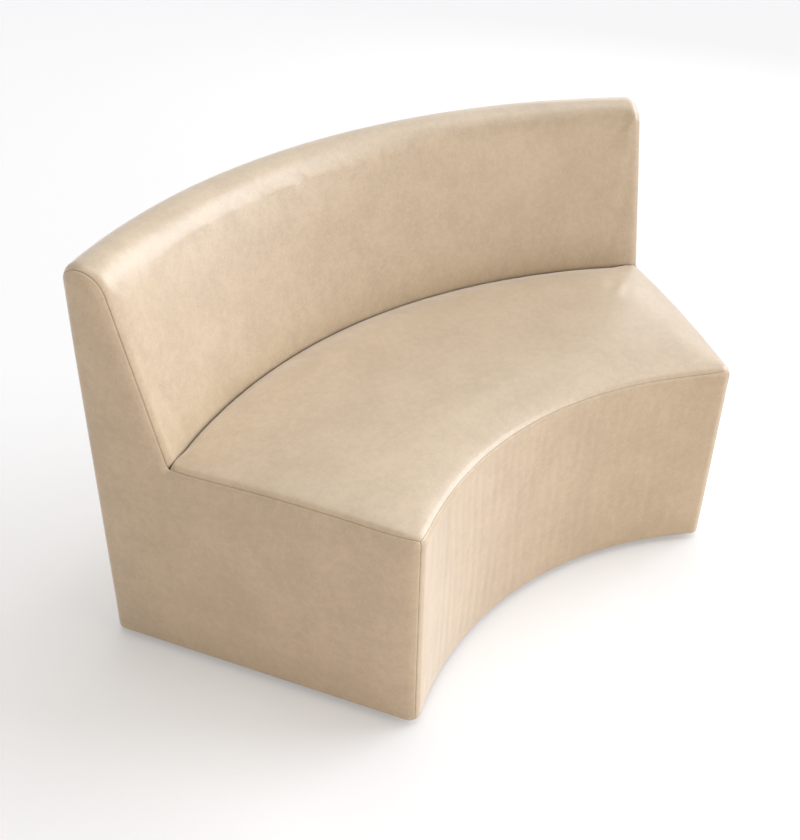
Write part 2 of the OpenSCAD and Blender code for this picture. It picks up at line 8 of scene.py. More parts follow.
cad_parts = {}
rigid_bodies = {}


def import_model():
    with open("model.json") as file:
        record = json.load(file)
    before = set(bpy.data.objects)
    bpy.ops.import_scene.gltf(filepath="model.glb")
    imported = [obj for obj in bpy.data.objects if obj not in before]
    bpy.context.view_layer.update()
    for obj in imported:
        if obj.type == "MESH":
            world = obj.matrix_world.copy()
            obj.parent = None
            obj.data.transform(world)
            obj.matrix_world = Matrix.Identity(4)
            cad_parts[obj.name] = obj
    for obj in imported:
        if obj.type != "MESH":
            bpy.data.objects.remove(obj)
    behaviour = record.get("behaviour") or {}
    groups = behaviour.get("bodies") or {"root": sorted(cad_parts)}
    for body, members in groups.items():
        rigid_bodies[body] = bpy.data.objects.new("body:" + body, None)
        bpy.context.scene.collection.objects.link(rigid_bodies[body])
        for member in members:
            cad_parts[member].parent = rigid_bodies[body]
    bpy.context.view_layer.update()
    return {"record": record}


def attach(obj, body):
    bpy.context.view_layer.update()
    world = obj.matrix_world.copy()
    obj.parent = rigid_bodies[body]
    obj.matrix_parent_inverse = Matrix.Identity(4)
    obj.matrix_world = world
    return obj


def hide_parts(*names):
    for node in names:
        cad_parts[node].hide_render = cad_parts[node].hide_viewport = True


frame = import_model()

print("stage: frame loaded")

# sizes of the frame, in millimetres, as in the part's source

bench = {
    "halfWidth": 438.0,
    "splay": math.radians(27.0),
    "cornerY": -410.29,
    "frontCy": -1038.71,
    "backCy": -879.71,
    "frontR": 763.0,
    "creaseR": 1117.0,
    "backR": 1291.0,
    "seamZ": 450.0,
    "creaseZ": 460.0,
    "topZ": 834.0,
    "backSeamZ": 802.0,
    "rake": math.radians(14.0),
    "crown": 13.0,
    "crownReach": 130.0,
    "seamBow": 8.0,
    "proud": 2.5,
    "round": 22.0,
    "topRound": 26.0,
    "lipLift": 4.2,
    "lipReach": 22.0,
    "endSwell": 2.2,
    "cloth": 1.5,
    "hemZ": 14.0,
    "hemTurn": 3.0,
    "hemDepth": 13.5,
}


def unit(v):
    return v / np.linalg.norm(v, axis=-1, keepdims=True)


def smooth(x):
    x = np.clip(x, 0, 1)
    return x * x * (3 - 2 * x)


def endAngle(r, cy, inset):
    s = bench["splay"]
    reach = bench["halfWidth"] * math.cos(s) + (cy - bench["cornerY"]) * math.sin(s)
    return s + np.arcsin((reach - inset) / r)


def revolve(r, z, a, cy):
    r, z, a = np.broadcast_arrays(r, z, a)
    return np.stack([r * np.sin(a), cy + r * np.cos(a), z], axis=-1)


def turned(nr, nz, a):
    nr, nz, a = np.broadcast_arrays(nr, nz, a)
    return np.stack([nr * np.sin(a), nr * np.cos(a), nz], axis=-1)


def insideEnd(p):
    s = bench["splay"]
    return (bench["halfWidth"] - np.abs(p[..., 0])) * math.cos(s) + (p[..., 1] - bench["cornerY"]) * math.sin(s)


def endNormal(side):
    return np.array([side * math.cos(bench["splay"]), -math.sin(bench["splay"]), 0.0])


def swell(s):
    return 1 - (1 - np.clip(s / bench["crownReach"], 0, 1)) ** 4


# seams: rows close to a seam sink into a fine groove with a soft ridge beside it

seamRows = [0.14, 0.7, 1.4, 2.2, 3.2, 4.8, 7.2, 10.2, 13.6]


def groove(d):
    return 0.7 * np.exp(-(d / 0.9) ** 2) - 0.16 * np.exp(-((d - 2.8) / 1.4) ** 2)


def rowWeights(radius):
    # from the seam inwards: weight of the neighbour's normal for each row, and 0 where the face begins
    # the count stays the same for every radius, so that rows of different radius meet
    near, follow = 4.0, 0.9
    grow = 1 + (radius / bench["round"] - 1) * follow
    rows = [d if d < near else near + (d - near) * grow for d in seamRows]
    return np.array([math.tan(math.pi / 4 - d / radius) for d in rows] + [0.0])


def seamDistance(w, radius):
    return radius * (math.pi / 4 - np.arctan(w))


def addObject(name, data):
    obj = bpy.data.objects.new(name, data)
    bpy.context.scene.collection.objects.link(obj)
    return obj


class Panel:
    # points and faces of one cut of cloth, welded as they are added

    def __init__(self):
        self.points = []
        self.depths = []
        self.faces = []
        self.seen = {}

    def vertex(self, p, depth):
        # a point within 0.02 mm of an earlier one is that point: cells of 0.1 mm keep the search short
        cell = [round(c * 10) for c in p]
        reach = []
        for c, k in zip(p, cell):
            rest = c * 10 - k
            reach.append([k, k + 1] if rest > 0.3 else [k, k - 1] if rest < -0.3 else [k])
        for x in reach[0]:
            for y in reach[1]:
                for z in reach[2]:
                    for v in self.seen.get((x, y, z), ()):
                        if abs(self.points[v] - p).max() < 0.02:
                            return v
        self.seen.setdefault(tuple(cell), []).append(len(self.points))
        self.points.append(np.array(p, dtype=float))
        self.depths.append(np.array(depth, dtype=float))
        return len(self.points) - 1

    def grid(self, pts, depth, facing):
        # facing is a direction, or one for each point, that the outer side of the grid looks in
        rows, cols = pts.shape[:2]
        ids = [[self.vertex(pts[i, j], depth[i, j]) for j in range(cols)] for i in range(rows)]
        lean = np.cross(pts[1:, :-1] - pts[:-1, :-1], pts[:-1, 1:] - pts[:-1, :-1])
        flip = (lean * np.broadcast_to(facing, pts.shape)[:-1, :-1]).sum() < 0
        for i in range(rows - 1):
            for j in range(cols - 1):
                quad = [ids[i][j], ids[i + 1][j], ids[i + 1][j + 1], ids[i][j + 1]]
                quad = [q for k, q in enumerate(quad) if q != quad[k - 1]]
                if len(quad) > 2:
                    self.faces.append(quad[::-1] if flip else quad)
        return ids

    def edges(self):
        count = {}
        for f in self.faces:
            for a, b in zip(f, f[1:] + f[:1]):
                count[(a, b)] = count.get((a, b), 0) + 1
        return [e for e in count if (e[1], e[0]) not in count]

    def allowance(self, depths):
        # the cloth turns inwards at its seams by the given depths
        rim = self.edges()
        last = {v: v for e in rim for v in e}
        base = {v: self.points[v].copy() for v in last}
        for depth in depths:
            fresh = {}
            for v in last:
                if np.linalg.norm(self.depths[v]) < 0.5:
                    fresh[v] = last[v]
                    continue
                self.points.append(base[v] - depth * self.depths[v])
                self.depths.append(np.zeros(3))
                fresh[v] = len(self.points) - 1
            for a, b in rim:
                quad = [last[b], last[a], fresh[a], fresh[b]]
                quad = [q for k, q in enumerate(quad) if q != quad[k - 1]]
                if len(quad) > 2:
                    self.faces.append(quad)
            last = fresh

    def normals(self):
        pts = np.array(self.points)
        out = np.zeros_like(pts)
        for corners in faceArrays(self.faces):
            for k in range(1, corners.shape[1] - 1):
                n = np.cross(pts[corners[:, k]] - pts[corners[:, 0]], pts[corners[:, k + 1]] - pts[corners[:, 0]])
                for c in range(corners.shape[1]):
                    np.add.at(out, corners[:, c], n)
        return unit(out + 1e-12)

    def close(self, inner):
        # the same faces again, turned round, on the inner points, and a wall along the rim
        count, rim = len(self.points), self.edges()
        self.points += list(inner)
        self.faces += [[v + count for v in reversed(f)] for f in self.faces]
        self.faces += [[b, a, a + count, b + count] for a, b in rim]

    def thicken(self, t):
        self.close([p - t * m for p, m in zip(self.points, self.normals())])

    def mesh(self, name, material):
        data = bpy.data.meshes.new(name)
        data.from_pydata([tuple(p * 0.001) for p in self.points], [], self.faces)
        data.validate()
        data.materials.append(material)
        data.polygons.foreach_set("use_smooth", [True] * len(data.polygons))
        return addObject(name, data)


def faceArrays(faces):
    sizes = sorted({len(f) for f in faces})
    return [np.array([f for f in faces if len(f) == size]) for size in sizes]


def area(points, faces):
    total = 0.0
    for corners in faceArrays(faces):
        for k in range(1, corners.shape[1] - 1):
            a, b, c = (points[corners[:, j]] for j in (0, k, k + 1))
            total += 0.5 * np.linalg.norm(np.cross(b - a, c - a), axis=1).sum()
    return total / 1e6


# surfaces, each given by the centre of the ball that rolls under it and its normal

uInner = np.linspace(-1, 1, 171)
far = 99.0


def columns(radius):
    # across a cover: the place along its arc, and the weights of the left and right ends' normals
    w = rowWeights(radius)
    left = [(-1.0, x, 0.0) for x in w[:-1]]
    right = [(1.0, 0.0, x) for x in w[:-1][::-1]]
    return np.array(left + [(u, 0.0, 0.0) for u in uInner] + right).T


seat = {
    "lift": 6.3,
    "rows": 47,
    "creaseTurn": 1.5,
    "creaseGrow": 9.0,
    "creaseRamp": 12.0,
    "creaseGap": 0.35,
    "pull": 0.42,
    "backGap": 0.3,
    "tuck": (3, 7, 12, 17),
}


def frontTop():
    return bench["seamZ"] + seat["lift"] - bench["round"]


def creaseTurn(u):
    # radius of the turn into the crease, which is least beside the end seams, and its share of the full one
    side = smooth((1 - np.abs(u)) * seat["creaseRamp"])
    return seat["creaseTurn"] + seat["creaseGrow"] * side, side


def seatBall(u, t):
    rad, off = bench["round"], bench["round"] - bench["proud"]
    rA = bench["frontR"] + rad
    a = revolve(rA, 0.0, u * endAngle(rA, bench["frontCy"], off), bench["frontCy"])
    turn, side = creaseTurn(u)
    pull = seat["pull"] * side
    rB = bench["creaseR"] - seat["backGap"] - turn * (1 - pull) - pull * rad
    b = revolve(rB, 0.0, u * endAngle(rB, bench["backCy"], off), bench["backCy"])
    p = a + (b - a) * t[..., None]
    span = np.linalg.norm(b - a, axis=-1)
    crown = bench["crown"] * swell(insideEnd(p) - off) * swell(np.minimum(t, 1 - t) * span)
    seam = bench["seamZ"] + (bench["creaseZ"] - bench["seamZ"]) * t + 4 * bench["seamBow"] * t * (1 - t)
    p[..., 2] = seam + seat["lift"] - rad + crown
    return p


def seatNormal(u, t):
    h = 0.002
    u0, u1 = np.clip(u - h, -1, 1), np.clip(u + h, -1, 1)
    t0, t1 = np.clip(t - h, 0, 1), np.clip(t + h, 0, 1)
    return unit(np.cross(seatBall(u1, t) - seatBall(u0, t), seatBall(u, t1) - seatBall(u, t0)))


roll = {
    "growFrom": 640.0,
    "growOver": 190.0,
    "faceFoot": 2.0,
    "faceTop": 788.5,
    "faceStep": 9.0,
    "insideR": 1257.0,
    "insideZ": 774.0,
    "insideRound": 60.0,
    "outsideR": 1259.0,
    "tuck": (3, 7, 12, 18),
}


def edgeRound(z):
    # the back's end edges grow rounder towards its top
    return bench["round"] + (bench["topRound"] - bench["round"]) * smooth((z - roll["growFrom"]) / roll["growOver"])


def profile():
    # the inside back's section from the crease over the roll to the outer seam: r, z, normal, ball radius
    rake = bench["rake"]
    pts = []
    for z in np.arange(bench["creaseZ"] + roll["faceFoot"], roll["faceTop"], roll["faceStep"]):
        r = bench["creaseR"] + (z - bench["creaseZ"]) * math.tan(rake)
        pts.append((r, z, -math.cos(rake), math.sin(rake)))
    for a in np.linspace(rake, math.pi / 2, 16):
        c, s = math.cos(a), math.sin(a)
        pts.append((roll["insideR"] - roll["insideRound"] * c, roll["insideZ"] + roll["insideRound"] * s, -c, s))
    turn = bench["backR"] - roll["outsideR"]
    quarter = turn * math.pi / 2
    lengths = list(np.linspace(0.0, quarter - seamRows[-1] - 2.5, 8)) + [quarter - d for d in seamRows[::-1]]
    for length in lengths:
        a = math.pi / 2 - length / turn
        c, s = math.cos(a), math.sin(a)
        pts.append((roll["outsideR"] + turn * c, bench["topZ"] - turn + turn * s, c, s))
    return np.array([(r, z, nr, nz, edgeRound(z)) for r, z, nr, nz in pts])


backProfile = profile()
fanTop = frontTop() + bench["creaseZ"] - bench["seamZ"] + bench["round"]


def backBall(u, row):
    r, z, nr, nz, rad = row
    rC, zC = r - rad * nr, z - rad * nz
    a = u * endAngle(rC, bench["backCy"], rad - bench["proud"])
    return revolve(rC, zC, a, bench["backCy"]), turned(nr, nz, a)


def frontBall(u, z):
    rC = bench["frontR"] + bench["round"]
    a = u * endAngle(rC, bench["frontCy"], bench["round"] - bench["proud"])
    return revolve(rC, z, a, bench["frontCy"]), turned(-1.0, 0.0, a)


def outerBall(u, z):
    rad = edgeRound(z)
    rC = bench["backR"] - rad
    a = u * endAngle(rC, bench["backCy"], rad - bench["proud"])
    return revolve(rC, z, a, bench["backCy"]), turned(1.0, 0.0, a)


# how far each face swells between its seams, and its lower and upper edge

bulges = {
    "back": (3.5, 462.0, 800.0),
    "front": (2.5, 20.0, frontTop()),
    "outer": (1.5, 20.0, 790.0),
}


def bulge(name, u, z):
    height, low, high = bulges[name]
    v = np.clip((z - low) / (high - low), 0, 1)
    return height * (1 - (2 * v - 1) ** 4) ** 2 * (1 - np.abs(u) ** 10) ** 2


nLeft, nRight = endNormal(-1), endNormal(1)


def ballPoints(centre, n0, seams, rad, sink=0.0, rise=0.0, topSeam=far):
    # seams: pairs of (weight, normal); the groove follows the nearest seam, or the top seam at its distance
    n = n0.copy()
    dist = np.full(n0.shape[:-1], topSeam)
    for w, m in seams:
        w = np.broadcast_to(w, n0.shape[:-1])
        n = n + w[..., None] * m
        dist = np.where(w > 0, np.minimum(dist, seamDistance(w, rad)), dist)
    n = unit(n)
    reach = rad - sink - groove(dist)
    return centre + reach[..., None] * n + np.asarray(rise)[..., None] * n0, n


def hemRows(points, inward):
    # below the last row the cloth turns under: a small turn, then a flat hem towards the middle
    turn, steps = bench["hemTurn"], (3.5, 7.5, 11.5)
    shifts = [(turn * (1 - math.cos(a)), turn * (1 - math.sin(a))) for a in np.arange(1, 5) * math.pi / 8]
    shifts += [(turn + d * (bench["hemDepth"] - turn) / steps[-1], 0.0) for d in steps]
    rows = []
    for shift, height in shifts:
        p = points + inward * shift
        p[..., 2] = bench["hemZ"] + height
        rows.append(p)
    return rows


def tuckRows(rim, wl, wr, drops):
    # in the crease the cloth runs straight down, and draws in from the end seams
    drawIn, drawOver = 11.0, 7.0
    shrink = (wl * drawIn)[:, None] * -nLeft + (wr * drawIn)[:, None] * -nRight
    return [rim + np.array([0, 0, -d]) + shrink * min(1.0, d / drawOver) for d in drops]


def rimOnly(n):
    # only a cover's two ends have a seam allowance
    edge = np.zeros_like(n)
    edge[0], edge[-1] = n[0], n[-1]
    return edge


def withHem(out, depth, n):
    hem = hemRows(out[-1], -n)
    return np.stack(out + hem, axis=1), np.stack(depth + [np.zeros_like(n)] * len(hem), axis=1)


print("stage: surfaces set out")


def seatPoints(u, wl, wr, t, wf, sink=0.0):
    uGrid, tGrid = np.meshgrid(u, t, indexing="ij")
    leftGrid, frontGrid = np.meshgrid(wl, wf, indexing="ij")
    rightGrid = np.broadcast_to(wr[:, None], uGrid.shape)
    seams = [(frontGrid, frontBall(uGrid, 0.0)[1]), (leftGrid, nLeft), (rightGrid, nRight)]
    return ballPoints(seatBall(uGrid, tGrid), seatNormal(uGrid, tGrid), seams, bench["round"], sink)


def seatPanel():
    u, wl, wr = columns(bench["round"])
    wf = rowWeights(bench["round"])[:-1]
    t = np.concatenate([np.zeros(len(wf)), np.linspace(0, 1, seat["rows"])])
    pts, n = seatPoints(u, wl, wr, t, np.concatenate([wf, np.zeros(seat["rows"])]))
    # the crease: the cloth turns down between seat and back
    turn = creaseTurn(u)[0][:, None]
    edge, nEdge = pts[:, -1], n[:, -1]
    radial = turned(1.0, 0.0, u * endAngle(bench["creaseR"], bench["backCy"], bench["round"] - bench["proud"]))
    mid = edge - turn * nEdge
    rEnd = np.linalg.norm((mid + turn * radial)[:, :2] - np.array([0, bench["backCy"]]), axis=-1)
    slide = (bench["creaseR"] - seat["creaseGap"] - rEnd)[:, None]
    extra = []
    for share in np.arange(1, 7) / 6:
        phi = share * math.pi / 2
        extra.append(mid + turn * (math.cos(phi) * nEdge + math.sin(phi) * radial) + radial * slide * share)
    extra += tuckRows(extra[-1], wl, wr, seat["tuck"])
    deep = np.zeros((len(u), len(t) + len(extra), 3))
    deep[[0, -1], :len(t)], deep[:, 0] = n[[0, -1]], n[:, 0]
    return np.concatenate([pts] + [e[:, None] for e in extra], axis=1), deep


def insideBackPanel():
    out, depth = [], []
    for left, row in zip(range(len(backProfile) - 1, -1, -1), backProfile):
        u, wl, wr = columns(row[4])
        centre, n0 = backBall(u, row)
        topSeam = seamRows[left] if left < len(seamRows) else far
        p, n = ballPoints(centre, n0, [(wl, nLeft), (wr, nRight)], row[4], 0.0, bulge("back", u, row[1]), topSeam)
        out.append(p)
        depth.append(rimOnly(n) if left else n)
    u, wl, wr = columns(bench["round"])
    low = tuckRows(out[0], wl, wr, roll["tuck"])
    depth = [np.zeros_like(p) for p in low] + depth
    return np.stack(low[::-1] + out, axis=1), np.stack(depth, axis=1)


def frontPanel():
    u, wl, wr = columns(bench["round"])
    endSeams = [(wl, nLeft), (wr, nRight)]
    nS = seatNormal(u, np.zeros_like(u))
    out, depth = [], []
    centre, n0 = frontBall(u, frontTop())
    for w in rowWeights(bench["round"])[:-1]:
        p, n = ballPoints(centre, n0, [(w, nS)] + endSeams, bench["round"])
        out.append(p)
        depth.append(rimOnly(n) if depth else n)
    for z in np.linspace(frontTop(), bench["hemZ"] + bench["hemTurn"], 48):
        centre, n0 = frontBall(u, z)
        p, n = ballPoints(centre, n0, endSeams, bench["round"], 0.0, bulge("front", u, z))
        out.append(p)
        depth.append(rimOnly(n))
    return withHem(out, depth, n)


def outerHeights():
    # from the seam along the top of the outer back down to its hem
    zTop = bench["backSeamZ"]
    low = bench["hemZ"] + bench["hemTurn"]
    return [zTop - d for d in seamRows] + list(np.linspace(zTop - seamRows[-1] - 3, low, 56))


def outerBackPanel():
    out, depth = [], []
    for i, z in enumerate(outerHeights()):
        rad = float(edgeRound(z))
        u, wl, wr = columns(rad)
        centre, n0 = outerBall(u, z)
        topSeam = seamRows[i] if i < len(seamRows) else far
        p, n = ballPoints(centre, n0, [(wl, nLeft), (wr, nRight)], rad, 0.0, bulge("outer", u, z), topSeam)
        out.append(p)
        depth.append(rimOnly(n) if depth else n)
    return withHem(out, depth, n)


def endPath(side):
    # the end cover's outline from the front hem, over seat and back, to the back hem:
    # ball centre, the neighbour's normal and ball radius
    nE = endNormal(side)
    one = np.array([float(side)])
    path = []

    def add(c, n, rad):
        path.append((np.asarray(c, float).reshape(3), np.asarray(n, float).reshape(3), float(rad)))

    for z in np.linspace(bench["hemZ"] + bench["hemTurn"], frontTop(), 48):
        add(*frontBall(one, z), bench["round"])
    frontCount = len(path)
    for t in np.linspace(0, 1, seat["rows"]):
        t = np.array([t])
        add(seatBall(one, t), seatNormal(one, t), bench["round"])
    # the concave corner at the crease: the ball's centre turns about the corner point
    low, nS, rad = path[-1]
    first = next(k for k, row in enumerate(backProfile) if row[1] > fanTop + 0.5)
    nBack = backBall(one, backProfile[first])[1][0]
    rEdge = bench["creaseR"] + (fanTop - bench["creaseZ"]) * math.tan(bench["rake"])
    a = side * endAngle(rEdge, bench["backCy"], rad - bench["proud"])
    corner = np.asarray(revolve(rEdge, fanTop, a, bench["backCy"]), float).reshape(3)
    start = corner - rad * (nS - (nS @ nE) * nE)
    for k in range(1, 5):
        add(low + (start - low) * k / 4, nS, rad)
    for k in range(1, 9):
        n = unit(nS + (nBack - nS) * k / 8)
        add(corner - rad * (n - (n @ nE) * nE), n, rad)
    for row in backProfile[first:]:
        add(*backBall(one, row), row[4])
    for z in outerHeights():
        add(*outerBall(one, z), edgeRound(z))
    return path, frontCount


def lipLift(s, z):
    # how far the end's padding stands out at a distance from its seam, fading to nothing at the hem
    fade = 70.0
    rise = 1 - np.exp(-np.maximum(s - seamRows[0], 0) / bench["lipReach"])
    return bench["lipLift"] * rise * smooth((z - bench["hemZ"] - bench["hemTurn"]) / fade)


def edgeDistance(outline, q):
    e = np.roll(outline, -1, axis=0) - outline
    h = np.clip(((q - outline) * e).sum(1) / ((e * e).sum(1) + 1e-9), 0, 1)
    return np.linalg.norm(outline + e * h[:, None] - q, axis=1).min()


def latticeInside(outline, xs, ys, step, clear):
    # the points of a staggered lattice that lie inside the outline and that the test clear lets through
    nxt = np.roll(outline, -1, axis=0)
    slope = (nxt[:, 0] - outline[:, 0]) / (nxt[:, 1] - outline[:, 1] + 1e-12)
    found = []
    for ix, x in enumerate(xs):
        for y in ys + (step / 2 if ix % 2 else 0):
            cross = ((outline[:, 1] > y) != (nxt[:, 1] > y)) & (x < slope * (y - outline[:, 1]) + outline[:, 0])
            if cross.sum() % 2 == 1 and clear(np.array([x, y])):
                found.append((x, y))
    return found


def faced(points, face, way):
    # the face, turned round where that is needed for it to look the given way
    a, b, c = (np.asarray(points[k]) for k in face[:3])
    return list(face)[::-1] if np.cross(b - a, c - a) @ way < 0 else list(face)


def membrane(tris, onRim, height):
    # the swell of a skin held at its rim and blown from behind
    near = [[] for _ in onRim]
    for f in tris:
        for a, b in zip(f, f[1:] + f[:1]):
            near[a].append(b)
            near[b].append(a)
    most = max(len(n) for n in near)
    idx = np.array([n + [n[0]] * (most - len(n)) for n in near])
    up = np.zeros(len(onRim))
    for _ in range(900):
        up = up[idx].mean(axis=1) + 1.0
        up[onRim] = 0
    return up / up.max() * height


def buildEnd(side):
    nE = endNormal(side)
    path, frontCount = endPath(side)
    panel = Panel()
    count = len(rowWeights(bench["round"]))
    pts, deep, out = [], [], []
    for c, n1, rad in path:
        w = rowWeights(rad)
        p, n = ballPoints(np.broadcast_to(c, (count, 3)), np.broadcast_to(nE, (count, 3)), [(w, n1)], rad)
        pts.append(p + lipLift(seamDistance(w, rad), p[:, 2])[:, None] * nE)
        edge = np.zeros_like(n)
        edge[0] = n[0]
        deep.append(edge)
        out.append(n)
    pts, deep, out = np.stack(pts), np.stack(deep), np.stack(out)
    # the front edge and the rest of the outline are two strips, with the three-seam corner between them
    for a, b in ((0, frontCount), (frontCount, len(path))):
        panel.grid(pts[a:b], deep[a:b], out[a:b])
    w = rowWeights(bench["round"])
    wf, ws = np.meshgrid(w, w, indexing="ij")
    c, nF, rad = path[frontCount - 1]
    nS = path[frontCount][1]
    flatWay = np.broadcast_to(nE, wf.shape + (3,))
    p, n = ballPoints(np.broadcast_to(c, flatWay.shape), flatWay, [(wf, nF), (ws, nS)], rad)
    p = p + lipLift(seamDistance(np.maximum(wf, ws), rad), p[..., 2])[..., None] * nE
    edge = np.zeros_like(n)
    edge[0], edge[:, 0] = n[0], n[:, 0]
    panel.grid(p, edge, n)
    # the flat middle: a triangulated field inside the strips, swollen as a held membrane is
    along = np.array([side * math.sin(bench["splay"]), math.cos(bench["splay"]), 0.0])
    rim = pts[:, -1]
    rimReach = np.array([rad * math.pi / 4 for _, _, rad in path])
    origin = rim[0]
    flat = np.stack([(rim - origin) @ along, rim[:, 2]], axis=-1)
    keepIds = [0] + [i for i in range(1, len(flat)) if np.linalg.norm(flat[i] - flat[i - 1]) > 0.05]
    loop = flat[keepIds]
    bottom = np.linspace(loop[-1], loop[0], 60)[1:-1]
    outline = np.concatenate([loop, bottom])
    step = 11.0
    xs, ys = (np.arange(outline[:, k].min(), outline[:, k].max(), step) for k in (0, 1))
    inner = latticeInside(outline, xs, ys, step, lambda q: edgeDistance(outline, q) > step * 0.55)
    coords = [Vector(q) for q in outline] + [Vector(q) for q in inner]
    verts, _, tris, orig, _, _ = delaunay_2d_cdt(coords, [], [list(range(len(outline)))], 1, 1e-6)
    tris = [list(f) for f in tris]
    field = np.array([[v[0], v[1]] for v in verts])
    up = membrane(tris, np.array([any(o < len(outline) for o in os) for os in orig]), bench["endSwell"])
    # the lift of the strips goes on over the field, with the distance from the nearest seam
    off = np.linalg.norm(field[:, None] - loop[None], axis=-1)
    reach = rimReach[keepIds][off.argmin(axis=1)] + off.min(axis=1)
    up = up + lipLift(reach, field[:, 1])
    flatOrigin = origin - nE * lipLift(rimReach[0], origin[2])
    plane = flatOrigin + field[:, :1] * along
    plane[:, 2] = field[:, 1]
    space = plane + up[:, None] * nE
    ids = [panel.vertex(p, np.zeros(3)) for p in space]
    panel.faces += [[ids[k] for k in faced(space, f, nE)] for f in tris]
    # the hem turns under along the whole foot
    under = [origin + along * x + np.array([0, 0, z - origin[2]]) for x, z in bottom[::-1]]
    foot = np.concatenate([pts[0], under, pts[-1][::-1]])
    inward = np.broadcast_to(-nE, foot.shape).copy()
    for (c, _, _), spots in ((path[0], range(count)), (path[-1], range(len(foot) - count, len(foot)))):
        for k in spots:
            inward[k] = -unit(foot[k] - np.array([c[0], c[1], foot[k][2]]))
    rows = np.stack([foot] + hemRows(foot, inward), axis=1)
    panel.grid(rows, np.zeros_like(rows), nE - np.array([0, 0, 1.0]))
    return panel, {"plane": plane, "tris": tris, "up": up, "normal": nE}


def finishPanel(panel, name):
    clothArea = area(np.array(panel.points), panel.faces)
    panel.allowance((1.3, 4.6))
    panel.thicken(bench["cloth"])
    obj = panel.mesh(name, materials["cover"])
    print(f"{name}: shown area {clothArea:.4f} m2, faces {len(panel.faces)}")
    return obj


# materials


def addNode(tree, kind, inputs=None, **settings):
    # a new node with its settings; each input is given as a value, or as the socket that feeds it
    node = tree.nodes.new(kind)
    for key, value in settings.items():
        setattr(node, key, value)
    for key, value in (inputs or {}).items():
        if hasattr(value, "is_output"):
            tree.links.new(value, node.inputs[key])
        else:
            node.inputs[key].default_value = value
    return node


def newMaterial(name, color, rough, metal=0.0):
    m = bpy.data.materials.new(name)
    m.use_nodes = True
    p = m.node_tree.nodes["Principled BSDF"]
    p.inputs["Base Color"].default_value = (*color, 1)
    p.inputs["Roughness"].default_value = rough
    p.inputs["Metallic"].default_value = metal
    return m, m.node_tree, p


def noiseNode(tree, coord, scale, detail, rough, stretch=(1, 1, 1)):
    mapping = addNode(tree, "ShaderNodeMapping", {"Vector": coord.outputs["Object"], "Scale": stretch})
    return addNode(tree, "ShaderNodeTexNoise", {
        "Vector": mapping.outputs["Vector"], "Scale": scale, "Detail": detail, "Roughness": rough}).outputs["Fac"]


def cellNode(tree, coord, scale):
    return addNode(tree, "ShaderNodeTexVoronoi", {
        "Vector": coord.outputs["Object"], "Scale": scale}).outputs["Distance"]


def bumpNode(tree, p, height, strength, distance):
    bump = addNode(tree, "ShaderNodeBump", {"Height": height, "Strength": strength, "Distance": distance})
    if p.inputs["Normal"].is_linked:
        tree.links.new(p.inputs["Normal"].links[0].from_socket, bump.inputs["Normal"])
    tree.links.new(bump.outputs["Normal"], p.inputs["Normal"])


def rangeNode(tree, value, low, high, fromLow=0.3, fromHigh=0.7):
    node = addNode(tree, "ShaderNodeMapRange", {
        "Value": value, "From Min": fromLow, "From Max": fromHigh, "To Min": low, "To Max": high})
    return node.outputs["Result"]


def mixNode(tree, factor, a, b, blend="MIX"):
    return addNode(tree, "ShaderNodeMix", {"Factor": factor, "A": a, "B": b}, data_type="RGBA",
                   blend_type=blend).outputs["Result"]


def weigh(tree, parts):
    # the weighted sum of some noises
    total = 0.0
    for value, weight in parts:
        total = addNode(tree, "ShaderNodeMath", {0: value, 1: weight, 2: total}, operation="MULTIPLY_ADD").outputs[0]
    return total


cloth = {
    "low": (0.500, 0.388, 0.257),
    "high": (0.590, 0.466, 0.315),
    "rampAt": (0.42, 0.58),
    "rough": (0.34, 0.46),
    "sockets": {"Specular IOR Level": 1.0, "Sheen Weight": 1.0, "Sheen Roughness": 0.35,
                "Sheen Tint": (1.0, 0.97, 0.93, 1)},
    # painted shade in seams and creases: how far the darkening mask reaches, and how dark the colour gets there
    "paintedShadeReach": 0.006,
    "paintedShadeTone": 0.45,
    "cloud": (11, 4, 0.55),
    "patch": (62, 5, 0.65),
    "nap": (400, 4, 0.7, (0.5, 1.0, 0.45)),
    "fleck": (800, 2, 0.5),
    "weights": (0.32, 0.32, 0.36),
    "bumps": ((0.3, 0.0004), (0.4, 0.0006), (0.1, 0.002)),
}


def paintedCreviceShade(tree, colour):
    # painted shade: where two surfaces meet within a few millimetres, in a seam or crease, an ambient occlusion mask
    # darkens the cloth's colour as shadow would
    near = addNode(tree, "ShaderNodeAmbientOcclusion", {"Distance": cloth["paintedShadeReach"]}, samples=8)
    amount = rangeNode(tree, near.outputs["AO"], cloth["paintedShadeTone"], 1.0, 0.25, 0.85)
    return mixNode(tree, 1.0, colour, amount, "MULTIPLY")


def champagne():
    m, tree, p = newMaterial("champagneCover", cloth["low"], cloth["rough"][0])
    for key, value in cloth["sockets"].items():
        p.inputs[key].default_value = value
    coord = addNode(tree, "ShaderNodeTexCoord")
    cloud, patch, nap, fleck = (noiseNode(tree, coord, *cloth[k]) for k in ("cloud", "patch", "nap", "fleck"))
    ramp = addNode(tree, "ShaderNodeValToRGB", {"Fac": weigh(tree, zip((cloud, patch, nap), cloth["weights"]))})
    for spot, at, tone in zip(ramp.color_ramp.elements, cloth["rampAt"], (cloth["low"], cloth["high"])):
        spot.position = at
        spot.color = (*tone, 1)
    # the base colour carries painted shade in seams and creases
    tree.links.new(paintedCreviceShade(tree, ramp.outputs["Color"]), p.inputs["Base Color"])
    tree.links.new(rangeNode(tree, nap, *cloth["rough"]), p.inputs["Roughness"])
    for height, relief in zip((fleck, nap, patch), cloth["bumps"]):
        bumpNode(tree, p, height, *relief)
    return m


